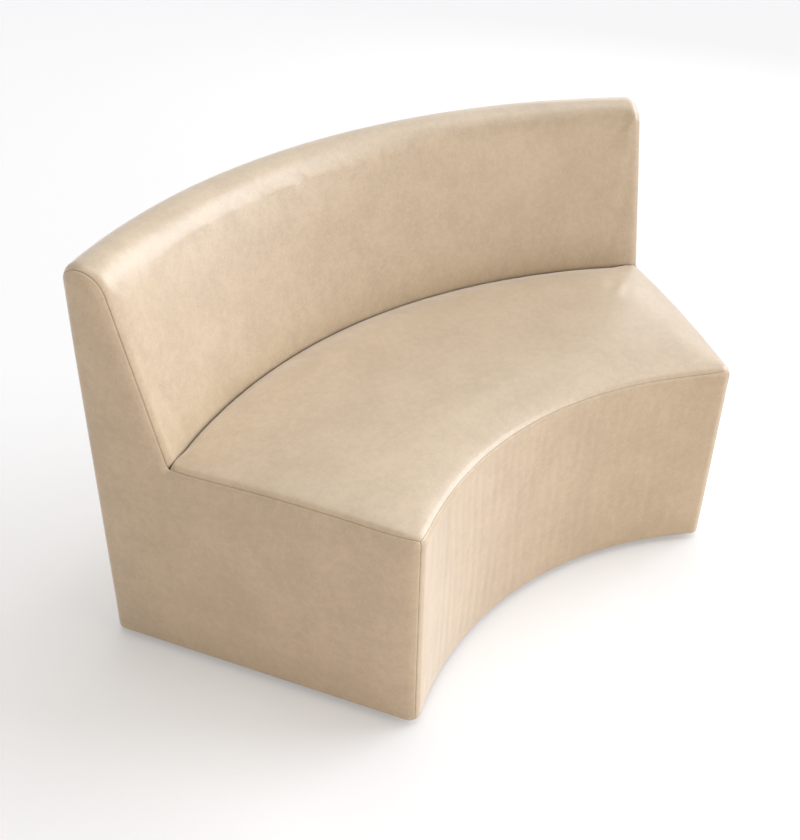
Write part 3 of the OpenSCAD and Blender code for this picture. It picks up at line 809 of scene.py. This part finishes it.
def grainGroup():
    # the variation that every plain finish shares: a broad change of colour, and a fine one of gloss and relief
    group = bpy.data.node_groups.new("finishGrain", "ShaderNodeTree")
    for name, kind in (("Coordinates", "Vector"), ("Stretch", "Vector"), ("Patch Scale", "Float"),
                       ("Grain Scale", "Float"), ("Low Colour", "Color"), ("High Colour", "Color"),
                       ("Low Roughness", "Float"), ("High Roughness", "Float")):
        group.interface.new_socket(name, in_out="INPUT", socket_type="NodeSocket" + kind)
    for name, kind in (("Colour", "Color"), ("Roughness", "Float"), ("Grain", "Float")):
        group.interface.new_socket(name, in_out="OUTPUT", socket_type="NodeSocket" + kind)
    given = addNode(group, "NodeGroupInput").outputs
    stretch = addNode(group, "ShaderNodeVectorMath", {0: given["Coordinates"], 1: given["Stretch"]},
                      operation="MULTIPLY")
    patch, grain = (
        addNode(group, "ShaderNodeTexNoise", {"Vector": stretch.outputs["Vector"], "Scale": given[socket],
                                              "Detail": detail, "Roughness": 0.6}).outputs["Fac"]
        for socket, detail in (("Patch Scale", 5.0), ("Grain Scale", 3.0)))
    share = rangeNode(group, patch, 0.0, 1.0, 0.35, 0.65)
    addNode(group, "NodeGroupOutput", {
        "Colour": mixNode(group, share, given["Low Colour"], given["High Colour"]),
        "Roughness": rangeNode(group, grain, given["Low Roughness"], given["High Roughness"]),
        "Grain": grain,
    })
    return group


finishGrain = grainGroup()


def mottled(name, low, high, roughLow, roughHigh, scale, grain, bumps, stretch=(1, 1, 1), metal=0.0):
    m, tree, p = newMaterial(name, low, roughLow, metal)
    coord = addNode(tree, "ShaderNodeTexCoord")
    given = addNode(tree, "ShaderNodeGroup", {
        "Coordinates": coord.outputs["Object"], "Stretch": stretch, "Patch Scale": scale, "Grain Scale": grain,
        "Low Colour": (*low, 1), "High Colour": (*high, 1), "Low Roughness": roughLow, "High Roughness": roughHigh,
    }, node_tree=finishGrain).outputs
    tree.links.new(given["Colour"], p.inputs["Base Color"])
    tree.links.new(given["Roughness"], p.inputs["Roughness"])
    bumpNode(tree, p, given["Grain"], *bumps)
    return m, tree, p, coord


def wood(name, low, high, stretch):
    m, tree, p, coord = mottled(name, low, high, 0.5, 0.66, 14, 90, (0.2, 0.0006), stretch)
    bumpNode(tree, p, noiseNode(tree, coord, 260, 2, 0.5, stretch), 0.15, 0.0003)
    return m


def cellFoam():
    m, tree, p, coord = mottled("cutFoam", (0.80, 0.74, 0.52), (0.88, 0.83, 0.62), 0.85, 0.95, 6, 120,
                                (0.3, 0.0008))
    bumpNode(tree, p, cellNode(tree, coord, 420), 0.6, 0.0008)
    return m


def steel(name, threadScale=None):
    m, tree, p, coord = mottled(name, (0.62, 0.63, 0.64), (0.74, 0.75, 0.77), 0.24, 0.40, 30, 300, (0.05, 0.0002),
                                metal=1.0)
    if threadScale:
        wave = addNode(tree, "ShaderNodeTexWave", {"Vector": coord.outputs["Object"], "Scale": threadScale},
                       bands_direction="Z")
        bumpNode(tree, p, wave.outputs["Fac"], 0.9, 0.0009)
    return m


def dustCloth():
    m, tree, p, coord = mottled("dustCloth", (0.012, 0.012, 0.013), (0.03, 0.03, 0.032), 0.72, 0.9, 40, 600,
                                (0.4, 0.0005))
    bumpNode(tree, p, cellNode(tree, coord, 330), 0.5, 0.0005)
    return m


materials = {
    "cover": champagne(),
    "lining": mottled("liningCloth", (0.50, 0.42, 0.33), (0.60, 0.52, 0.42), 0.75, 0.9, 60, 700, (0.3, 0.0004))[0],
    "foam": cellFoam(),
    "wadding": mottled("wadding", (0.84, 0.84, 0.82), (0.93, 0.93, 0.91), 0.88, 0.98, 35, 260, (0.7, 0.0015))[0],
    "dust": dustCloth(),
    "board": mottled("tackBoard", (0.42, 0.34, 0.24), (0.54, 0.45, 0.33), 0.8, 0.92, 50, 500, (0.3, 0.0004))[0],
    "plywood": wood("birchPlywood", (0.62, 0.45, 0.27), (0.76, 0.60, 0.40), (0.35, 1.0, 3.0)),
    "beech": wood("planedBeech", (0.50, 0.31, 0.18), (0.62, 0.42, 0.26), (0.3, 2.0, 2.0)),
    "steel": steel("platedSteel"),
    "stem": steel("threadedSteel", 209.0),
    "nylon": mottled("glideNylon", (0.012, 0.012, 0.013), (0.025, 0.025, 0.027), 0.38, 0.55, 60, 500,
                     (0.12, 0.0003))[0],
    "staple": mottled("stapleWire", (0.55, 0.56, 0.58), (0.70, 0.71, 0.73), 0.25, 0.4, 80, 600, (0.05, 0.0002),
                      metal=1.0)[0],
}

slotMaterials = {"birch_plywood": "plywood", "beech": "beech", "plated_steel": "steel", "glide_nylon": "nylon",
                 "board": "board", "foam": "foam", "wadding": "wadding", "lining": "lining",
                 "dust_cloth": "dust", "upholstery": "cover"}
for sub in frame["record"]["subparts"]:
    key = "stem" if sub["node"].endswith("_stem") else slotMaterials[sub["material_slot"]]
    for holder in bpy.data.objects[sub["node"]].material_slots:
        holder.material = materials[key]
print("stage: materials")

# covers

coverFacts = {
    "seatCover": {"node": "seat_cover", "pressure": 1.2, "flat": (1.34, 0.68), "area": 0.63,
                  "rests": "seatFoamBlock"},
    "frontCover": {"node": "front_cover", "pressure": 1.0, "flat": (0.98, 0.47), "area": 0.42,
                   "rests": "frontPad"},
    "insideBackCover": {"node": "inside_back_cover", "pressure": 1.0, "flat": (1.62, 0.55), "area": 0.715,
                        "rests": "backFoamBlock"},
    "outerBackCover": {"node": "outer_back_cover", "pressure": 0.5, "flat": (1.66, 0.82), "area": 1.27,
                       "rests": "outerBackPad"},
    "endCoverLeft": {"node": "end_cover_left", "pressure": 0.8, "flat": (0.68, 0.86), "area": 0.355,
                     "rests": "endPadLeft"},
    "endCoverRight": {"node": "end_cover_right", "pressure": 0.8, "flat": (0.68, 0.86), "area": 0.355,
                      "rests": "endPadRight"},
}
stretchy = {
    "quality": 6,
    "mass": 0.4,
    "tension_stiffness": 60,
    "compression_stiffness": 60,
    "shear_stiffness": 20,
    "bending_stiffness": 2.0,
    "use_pressure": True,
    "vertex_group_mass": "held",
}
relaxing = {"frames": 16, "cap": 2.2, "seamReach": 19.0}


def heldPoints(pts, rim):
    # points near a seam or hem stay where they are, so that neighbouring covers still meet
    reach, chunk = relaxing["seamReach"], 500
    held = pts[:, 2] < reach
    for k in range(0, len(pts), chunk):
        off = np.linalg.norm(pts[k:k + chunk, None] - pts[rim][None], axis=-1).min(axis=1)
        held[k:k + chunk] |= off < reach
    return held


def relax(panel, name, pressure):
    # the cloth is blown against its seams by a short simulation, and each point kept within the cap
    pts = np.array(panel.points)
    held = heldPoints(pts, sorted({v for e in panel.edges() for v in e}))
    data = bpy.data.meshes.new(name + "Sim")
    data.from_pydata([tuple(p * 0.001) for p in pts], [], panel.faces)
    obj = addObject(name + "Sim", data)
    group = obj.vertex_groups.new(name="held")
    group.add([int(i) for i in np.nonzero(held)[0]], 1.0, "REPLACE")
    mod = obj.modifiers.new("Cloth", "CLOTH")
    for key, value in stretchy.items():
        setattr(mod.settings, key, value)
    mod.settings.uniform_pressure_force = pressure
    mod.settings.effector_weights.gravity = 0
    mod.collision_settings.use_collision = False
    mod.point_cache.frame_end = relaxing["frames"]
    for f in range(1, relaxing["frames"] + 1):
        bpy.context.scene.frame_set(f)
    done = obj.evaluated_get(bpy.context.evaluated_depsgraph_get()).to_mesh()
    co = np.zeros(len(pts) * 3)
    done.vertices.foreach_get("co", co)
    move = co.reshape(-1, 3) * 1000 - pts
    length, cap = np.linalg.norm(move, axis=1), relaxing["cap"]
    scale = cap * np.tanh(length / cap) / np.maximum(length, 1e-9)
    print(f"{name}: simulated, largest move {length.max():.2f} mm, kept within {cap} mm")
    panel.points = [p + m * k for p, m, k in zip(pts, move, scale)]
    bpy.data.objects.remove(obj)
    bpy.context.scene.frame_set(1)


def place(obj, node, slot):
    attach(obj, "bench")
    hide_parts(node)
    return obj


def finishCover(name, panel):
    facts = coverFacts[name]
    relax(panel, name, facts["pressure"])
    return place(finishPanel(panel, name), facts["node"], "upholstery")


covers, ends = {}, {}
for name, (pts, deep), way in (
        ("seatCover", seatPanel(), (0, 0, 1)),
        ("frontCover", frontPanel(), (0, -1, 0)),
        ("insideBackCover", insideBackPanel(), (0, -0.5, 1)),
        ("outerBackCover", outerBackPanel(), (0, 1, 0))):
    panel = Panel()
    panel.grid(pts, deep, way)
    covers[name] = finishCover(name, panel)
for name, side in (("Left", -1), ("Right", 1)):
    panel, ends[name] = buildEnd(side)
    covers["endCover" + name] = finishCover("endCover" + name, panel)
print("stage: covers built")

# foam, wadding, strips

# how far they lie under the outside of the covers, and where they end above the hem
padSink, padFoot = 2.2, 16.0


def shade(obj):
    # sharp edges where two faces meet at more than the angle
    limit = math.cos(math.radians(50.0))
    near = {}
    for face in obj.data.polygons:
        for key in face.edge_keys:
            near.setdefault(key, []).append(face.normal.copy())
    for edge in obj.data.edges:
        normals = near[edge.key]
        edge.use_edge_sharp = len(normals) == 2 and normals[0] @ normals[1] < limit


def block(name, node, slot, outer, inner, faces):
    pad = Panel()
    pad.points, pad.faces = list(outer), faces
    pad.close(inner)
    obj = pad.mesh(name, materials[slot])
    shade(obj)
    return place(obj, node, slot)


def gridBlock(name, node, slot, outer, inner):
    # two matching grids of points, the outer looking out and the inner looking in
    rows, cols = outer.shape[:2]
    lean = np.cross(outer[1:, :-1] - outer[:-1, :-1], outer[:-1, 1:] - outer[:-1, :-1])
    flip = lean.reshape(-1, 3).sum(0) @ (outer - inner).reshape(-1, 3).sum(0) < 0
    faces = []
    for i in range(rows - 1):
        for j in range(cols - 1):
            a, b = i * cols + j, (i + 1) * cols + j
            faces.append([a + 1, b + 1, b, a] if flip else [a, b, b + 1, a + 1])
    return block(name, node, slot, outer.reshape(-1, 3), inner.reshape(-1, 3), faces)


def seatFoam():
    facts = {
        "columns": 121,
        "rows": 33,
        "endWeight": 0.27,
        "frontWeight": 0.16,
        "heel": (4.0, -3.5),
        "under": 387.3,
    }
    u = np.concatenate([[-1.0], np.linspace(-1, 1, facts["columns"]), [1.0]])
    t = np.concatenate([[0.0], np.linspace(0, 1, facts["rows"])])
    wl, wf = np.zeros(len(u)), np.zeros(len(t))
    wl[0], wf[0] = facts["endWeight"], facts["frontWeight"]
    top, _ = seatPoints(u, wl, wl[::-1], t, wf, padSink)
    last = top[:, -1]
    radial = unit((last - np.array([0, bench["backCy"], 0])) * np.array([1, 1, 0]))
    out, up = facts["heel"]
    heel = last + radial * out + np.array([0, 0, up])
    top = np.concatenate([top, heel[:, None]], axis=1)
    under = top.copy()
    under[..., 2] = facts["under"]
    return gridBlock("seatFoamBlock", "seat_foam", "foam", top, under)


def sectionBlock(name, facts, outer, inner):
    # outer and inner: matching lists of (r, z), turned about the arc's centre between the two ends
    cy, inset = bench[facts["centre"]], facts["inset"]
    u = np.linspace(-1, 1, facts["columns"])
    rise = facts.get("bulge")
    tops, unders = [], []
    for (r0, z0), (r1, z1) in zip(outer, inner):
        b = rise[1] * bulge(rise[0], u, z0) if rise else 0.0
        tops.append(revolve(r0 + b, z0, u * endAngle(r0, cy, inset), cy))
        unders.append(revolve(r1, z1, u * endAngle(r1, cy, inset), cy))
    return gridBlock(name, facts["node"], facts["slot"], np.stack(tops, axis=1), np.stack(unders, axis=1))


def backFoam():
    # it fills the space from the cover to the boards, with a thinner cap over the top rail
    facts = {
        "node": "back_foam",
        "slot": "foam",
        "centre": "backCy",
        "inset": 16.0,
        "columns": 121,
        "bulge": ("back", -1),
        "foot": ((2.4, 387.4), (2.4, 420.0), (2.6, 450.0)),
        "depth": 36.6,
        "capR": (1225.0, 1288.0),
        "capZ": 800.0,
        "railR": (1236.0, 1281.0),
        "railZ": 797.4,
    }
    rake, creaseR, depth = bench["rake"], bench["creaseR"], facts["depth"]
    outer = [(creaseR + r, z) for r, z in facts["foot"]]
    outer += [(r - padSink * nr, z - padSink * nz) for r, z, nr, nz, _ in backProfile]
    inner = []
    for r, z in outer:
        if r < facts["capR"][0] and z < facts["capZ"]:
            line = creaseR + depth / math.cos(rake) + (z - bench["creaseZ"]) * math.tan(rake)
            inner.append((max(line, creaseR + depth), min(z, facts["railZ"])))
        else:
            inner.append((np.interp(r, facts["capR"], facts["railR"]), facts["railZ"]))
    return sectionBlock("backFoamBlock", facts, outer, inner)


walls = {
    "frontPad": {"node": "front_pad", "slot": "wadding", "centre": "frontCy", "inset": 14.0, "columns": 121,
                 "bulge": ("front", -1), "outer": bench["frontR"] + 2.0, "inner": 775.8,
                 "heights": (padFoot, 438.0, 30)},
    "outerBackPad": {"node": "outer_back_pad", "slot": "wadding", "centre": "backCy", "inset": 16.5, "columns": 121,
                     "bulge": ("outer", 1), "outer": 1288.6, "inner": 1284.4, "heights": (padFoot, 784.6, 40)},
    "seatPullStrip": {"node": "seat_pull_strip", "slot": "lining", "centre": "backCy", "inset": 9.8, "columns": 161,
                      "outer": 1115.2, "inner": 1116.6, "heights": (387.4, 436.0, 8)},
    "backPullStrip": {"node": "back_pull_strip", "slot": "lining", "centre": "backCy", "inset": 9.8, "columns": 161,
                      "outer": 1117.2, "inner": 1118.6, "heights": (387.4, 436.0, 8)},
}


def wall(name):
    facts = walls[name]
    zs = np.linspace(*facts["heights"])
    return sectionBlock(name, facts, [(facts["outer"], z) for z in zs], [(facts["inner"], z) for z in zs])


def endPad(name, info):
    thickness, n = 11.6, info["normal"]
    plane = info["plane"].copy()
    plane[:, 2] = np.maximum(plane[:, 2], padFoot)
    outer = plane + (info["up"] - padSink)[:, None] * n
    faces = [faced(outer, f, n) for f in info["tris"]]
    return block("endPad" + name, "end_pad_" + name.lower(), "wadding", outer, plane - thickness * n, faces)


soft = {"seatFoamBlock": seatFoam(), "backFoamBlock": backFoam()}
soft.update({name: wall(name) for name in ("frontPad", "outerBackPad")})
strips = {name: wall(name) for name in ("seatPullStrip", "backPullStrip")}
soft.update({"endPad" + name: endPad(name, info) for name, info in ends.items()})
print("stage: foam, wadding and strips")

# dust cover and its staples

dust = {
    "rim": 12.3,
    "fold": 24.0,
    "staples": 18.0,
    "step": 15.0,
    "foldClear": 7.0,
    "glideClear": 17.0,
    "hole": 11.2,
    "rimZ": 13.05,
    "foldZ": 13.0,
    "middleZ": 13.22,
    "wave": 0.12,
    "stapleZ": 12.75,
    "thickness": 0.55,
}
glideSpots = np.array([(-385.721, -323.718), (0.0, -226.31), (385.721, -323.718), (-646.793, 188.307),
                       (0.0, 368.89), (646.793, 188.307)])


def glideDistance(q):
    return np.linalg.norm(glideSpots - q, axis=1).min()


def plate(inset):
    # the plan outline, stepped in from the covers all round
    rF, rB = 766.0 + inset, 1290.0 - inset
    frontCount, backCount, sideCount = 90, 110, 36
    aF, aB = endAngle(rF, bench["frontCy"], inset), endAngle(rB, bench["backCy"], inset)
    front = revolve(rF, 0.0, np.linspace(-aF, aF, frontCount), bench["frontCy"])[:, :2]
    back = revolve(rB, 0.0, np.linspace(aB, -aB, backCount), bench["backCy"])[:, :2]
    share = np.arange(1, sideCount)[:, None] / sideCount
    return np.concatenate([front, front[-1] + (back[0] - front[-1]) * share,
                           back, back[-1] + (front[0] - back[-1]) * share])


def dustSheet():
    outline, fold, step = plate(dust["rim"]), plate(dust["fold"]), dust["step"]

    def clear(q):
        return np.linalg.norm(fold - q, axis=1).min() > dust["foldClear"] and glideDistance(q) > dust["glideClear"]

    inner = latticeInside(fold, np.arange(-720, 720, step), np.arange(-400, 400, step), step, clear)
    around = np.linspace(0, 2 * math.pi, 25)[:-1]
    hole = dust["hole"] * np.stack([np.cos(around), np.sin(around)], axis=-1)
    coords, edges = [Vector(q) for q in outline], []
    for ring in [fold] + [spot + hole for spot in glideSpots]:
        start = len(coords)
        coords += [Vector(q) for q in ring]
        edges += [(start + k, start + (k + 1) % len(ring)) for k in range(len(ring))]
    coords += [Vector(q) for q in inner]
    verts, _, tris, orig, _, _ = delaunay_2d_cdt(coords, edges, [list(range(len(outline)))], 1, 1e-6)
    sheet = Panel()
    for (x, y), given in zip(verts, orig):
        k = min(given) if given else len(coords)
        wave = math.sin(x / 61.0 + 1.3) * math.sin(y / 47.0) + 0.5 * math.sin((x + y) / 29.0)
        z = dust["middleZ"] + dust["wave"] * wave
        if k < len(outline) + len(fold):
            z = dust["rimZ"] if k < len(outline) else dust["foldZ"]
        sheet.points.append(np.array([x, y, z]))
    for f in tris:
        # the triangles that fill a glide's hole are left out
        if glideDistance(np.mean([verts[k] for k in f], axis=0)) >= dust["hole"] - 0.3:
            sheet.faces.append(faced(sheet.points, f, np.array([0, 0, -1.0])))
    print(f"dustSheet: area {area(np.array(sheet.points), sheet.faces):.4f} m2")
    sheet.thicken(dust["thickness"])
    return place(sheet.mesh("dustSheet", materials["dust"]), "dust_cover", "dust_cloth")


def stapleTree():
    # staples at equal steps along a line, each a bowed wire that is turned a little at random
    tree = bpy.data.node_groups.new("stapleRow", "GeometryNodeTree")
    keys = {}
    for label, kind in (("Geometry", "Geometry"), ("Pitch", "Float"), ("Crown", "Float"), ("Wire", "Float"),
                        ("Bow", "Float"), ("Turn", "Float"), ("Material", "Material")):
        item = tree.interface.new_socket(name=label, in_out="INPUT", socket_type="NodeSocket" + kind)
        keys[label] = item.identifier
    tree.interface.new_socket(name="Geometry", in_out="OUTPUT", socket_type="NodeSocketGeometry")
    given = addNode(tree, "NodeGroupInput").outputs

    def times(value, factor):
        return addNode(tree, "ShaderNodeMath", {0: value, 1: factor}, operation="MULTIPLY").outputs[0]

    def vector(x, y, z):
        return addNode(tree, "ShaderNodeCombineXYZ", {0: x, 1: y, 2: z}).outputs[0]

    half, tipZ = times(given["Crown"], 0.5), 0.0003
    wire = addNode(tree, "GeometryNodeCurveQuadraticBezier", {
        "Resolution": 12, "Start": vector(times(half, -1.0), 0.0, tipZ),
        "Middle": vector(0.0, 0.0, times(given["Bow"], -1.0)), "End": vector(half, 0.0, tipZ)})
    ring = addNode(tree, "GeometryNodeCurvePrimitiveCircle", {"Resolution": 10, "Radius": given["Wire"]})
    body = addNode(tree, "GeometryNodeCurveToMesh", {
        "Curve": wire.outputs["Curve"], "Profile Curve": ring.outputs["Curve"], "Fill Caps": True})
    path = addNode(tree, "GeometryNodeMeshToCurve", {"Mesh": given["Geometry"]})
    spots = addNode(tree, "GeometryNodeCurveToPoints", {
        "Curve": path.outputs["Curve"], "Length": given["Pitch"]}, mode="LENGTH")
    align = addNode(tree, "FunctionNodeAlignRotationToVector", {"Vector": spots.outputs["Tangent"]},
                    axis="X", pivot_axis="Z")
    chance = addNode(tree, "FunctionNodeRandomValue", {
        2: times(given["Turn"], -1.0), 3: given["Turn"], "Seed": 7}, data_type="FLOAT")
    put = addNode(tree, "GeometryNodeInstanceOnPoints", {
        "Points": spots.outputs["Points"], "Instance": body.outputs["Mesh"], "Rotation": align.outputs["Rotation"]})
    sway = addNode(tree, "GeometryNodeRotateInstances", {
        "Instances": put.outputs["Instances"], "Rotation": vector(0.0, 0.0, chance.outputs[1])})
    real = addNode(tree, "GeometryNodeRealizeInstances", {"Geometry": sway.outputs["Instances"]})
    paint = addNode(tree, "GeometryNodeSetMaterial", {
        "Geometry": real.outputs["Geometry"], "Material": given["Material"]})
    addNode(tree, "NodeGroupOutput", {"Geometry": paint.outputs["Geometry"]})
    return tree, keys


def stapleRow(name, outline, z, facts):
    tree, keys = stapleTree()
    line = bpy.data.meshes.new(name + "Path")
    count = len(outline)
    line.from_pydata([(x * 0.001, y * 0.001, z * 0.001) for x, y in outline],
                     [(k, (k + 1) % count) for k in range(count)], [])
    holder = addObject(name + "Path", line)
    mod = holder.modifiers.new("staples", "NODES")
    mod.node_group = tree
    for label, value in facts.items():
        mod[keys[label]] = value
    data = bpy.data.meshes.new_from_object(holder.evaluated_get(bpy.context.evaluated_depsgraph_get()))
    data.name = name
    holder.modifiers.clear()
    bpy.data.objects.remove(holder)
    data.polygons.foreach_set("use_smooth", [True] * len(data.polygons))
    obj = addObject(name, data)
    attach(obj, "bench")
    print(f"{name}: {len(data.polygons)} faces")
    return obj


strips["dustSheet"] = dustSheet()
staples = stapleRow("dustStaples", plate(dust["staples"]), dust["stapleZ"], {
    "Pitch": 0.042, "Crown": 0.0105, "Wire": 0.00055, "Bow": 0.0007, "Turn": 0.16, "Material": materials["staple"]})

print("stage: dust cover, staples and sheets")

# floor, light and camera

studio = {
    "floorGlow": 0.28,
    "floorSeen": (0.985, 0.99, 1.0),
    "floorBounce": (0.97, 0.90, 0.83),
    "floorHalf": 40,
    "world": 0.31,
    "worldTint": (1.0, 0.93, 0.87),
    "aim": (0, 0, 0.45),
}
suns = {
    "topLight": {"from": (0.22, 0.10, 1.0), "energy": 1.05, "angle": 40.0, "color": (1.0, 1.0, 0.99)},
    "sideLight": {"from": (1.0, -0.33, 0.46), "energy": 2.30, "angle": 48.0, "color": (0.95, 1.0, 1.10)},
}
boxes = {
    "frontBox": {"place": (0.6, -2.6, 1.2), "size": (1.4, 1.2), "energy": 13.0, "color": (1.0, 0.88, 0.77)},
    "backBox": {"place": (3.3, 1.6, 2.0), "size": (2.4, 1.2), "energy": 20.0, "color": (1.0, 1.0, 1.0)},
    "leftBox": {"place": (-2.4, -2.4, 0.8), "size": (2.0, 1.4), "energy": 14.0, "color": (1.0, 0.88, 0.77)},
}


def seenRays(tree):
    # 1 for what the camera sees, by itself or in a gloss or through glass
    ray = addNode(tree, "ShaderNodeLightPath").outputs
    value = ray["Is Camera Ray"]
    for other in ("Is Glossy Ray", "Is Transmission Ray"):
        value = addNode(tree, "ShaderNodeMath", {0: value, 1: ray[other]}, operation="MAXIMUM").outputs[0]
    return value


def mixShaders(tree, share, low, high, output):
    mix = addNode(tree, "ShaderNodeMixShader", {"Fac": share, 1: low, 2: high})
    tree.links.new(mix.outputs["Shader"], tree.nodes[output].inputs["Surface"])


def floorMaterial():
    # pale and matt; a part of what the camera sees is plain white, so only the soft shadow shows on it
    m, tree, p = newMaterial("paleFloor", studio["floorSeen"], 0.9)
    p.inputs["Specular IOR Level"].default_value = 0.0
    seen = seenRays(tree)
    tone = mixNode(tree, seen, (*studio["floorBounce"], 1), (*studio["floorSeen"], 1))
    tree.links.new(tone, p.inputs["Base Color"])
    glow = addNode(tree, "ShaderNodeEmission", {"Color": (1, 1, 1, 1), "Strength": 1.0})
    share = addNode(tree, "ShaderNodeMath", {0: seen, 1: studio["floorGlow"]}, operation="MULTIPLY").outputs[0]
    mixShaders(tree, share, p.outputs["BSDF"], glow.outputs["Emission"], "Material Output")
    return m


half = studio["floorHalf"]
floorMesh = bpy.data.meshes.new("floor")
floorMesh.from_pydata([(-half, -half, 0), (half, -half, 0), (half, half, 0), (-half, half, 0)], [], [(0, 1, 2, 3)])
floorMesh.materials.append(floorMaterial())
floor = addObject("floor", floorMesh)

world = bpy.data.worlds.new("studio")
bpy.context.scene.world = world
world.use_nodes = True
tree = world.node_tree
fill = tree.nodes["Background"]
fill.inputs["Color"].default_value = (*studio["worldTint"], 1)
fill.inputs["Strength"].default_value = studio["world"]
plain = addNode(tree, "ShaderNodeBackground", {"Color": (1, 1, 1, 1), "Strength": 1.0})
mixShaders(tree, seenRays(tree), fill.outputs["Background"], plain.outputs["Background"], "World Output")


def addLight(name, kind, facts, place, aim):
    data = bpy.data.lights.new(name, kind)
    data.energy, data.color = facts["energy"], facts["color"]
    obj = addObject(name, data)
    obj.location = place
    obj.rotation_euler = (Vector(aim) - Vector(place)).to_track_quat("-Z", "Y").to_euler()
    return data


for name, facts in suns.items():
    light = addLight(name, "SUN", facts, Vector(facts["from"]) * 3, (0, 0, 0))
    light.angle = math.radians(facts["angle"])
for name, facts in boxes.items():
    light = addLight(name, "AREA", facts, facts["place"], studio["aim"])
    light.shape = "RECTANGLE"
    light.size, light.size_y = facts["size"]

camera = {
    "place": Vector((-1.4157, -1.4471, 1.6508)),
    "right": Vector((0.755037, -0.655460, 0.017083)),
    "up": Vector((0.353578, 0.428958, 0.831251)),
    "lens": 47.655,
}
camData = bpy.data.cameras.new("camera")
camData.lens = camera["lens"]
camData.sensor_width = 36
camData.sensor_fit = "AUTO"
cam = addObject("camera", camData)
right, up = camera["right"].normalized(), camera["up"].normalized()
behind = right.cross(up).normalized()
turn = Matrix((right, behind.cross(right), behind)).transposed().to_4x4()
cam.matrix_world = Matrix.Translation(camera["place"]) @ turn
bpy.context.scene.camera = cam
bpy.context.scene.view_settings.view_transform = "Standard"
print("stage: floor, light and camera")
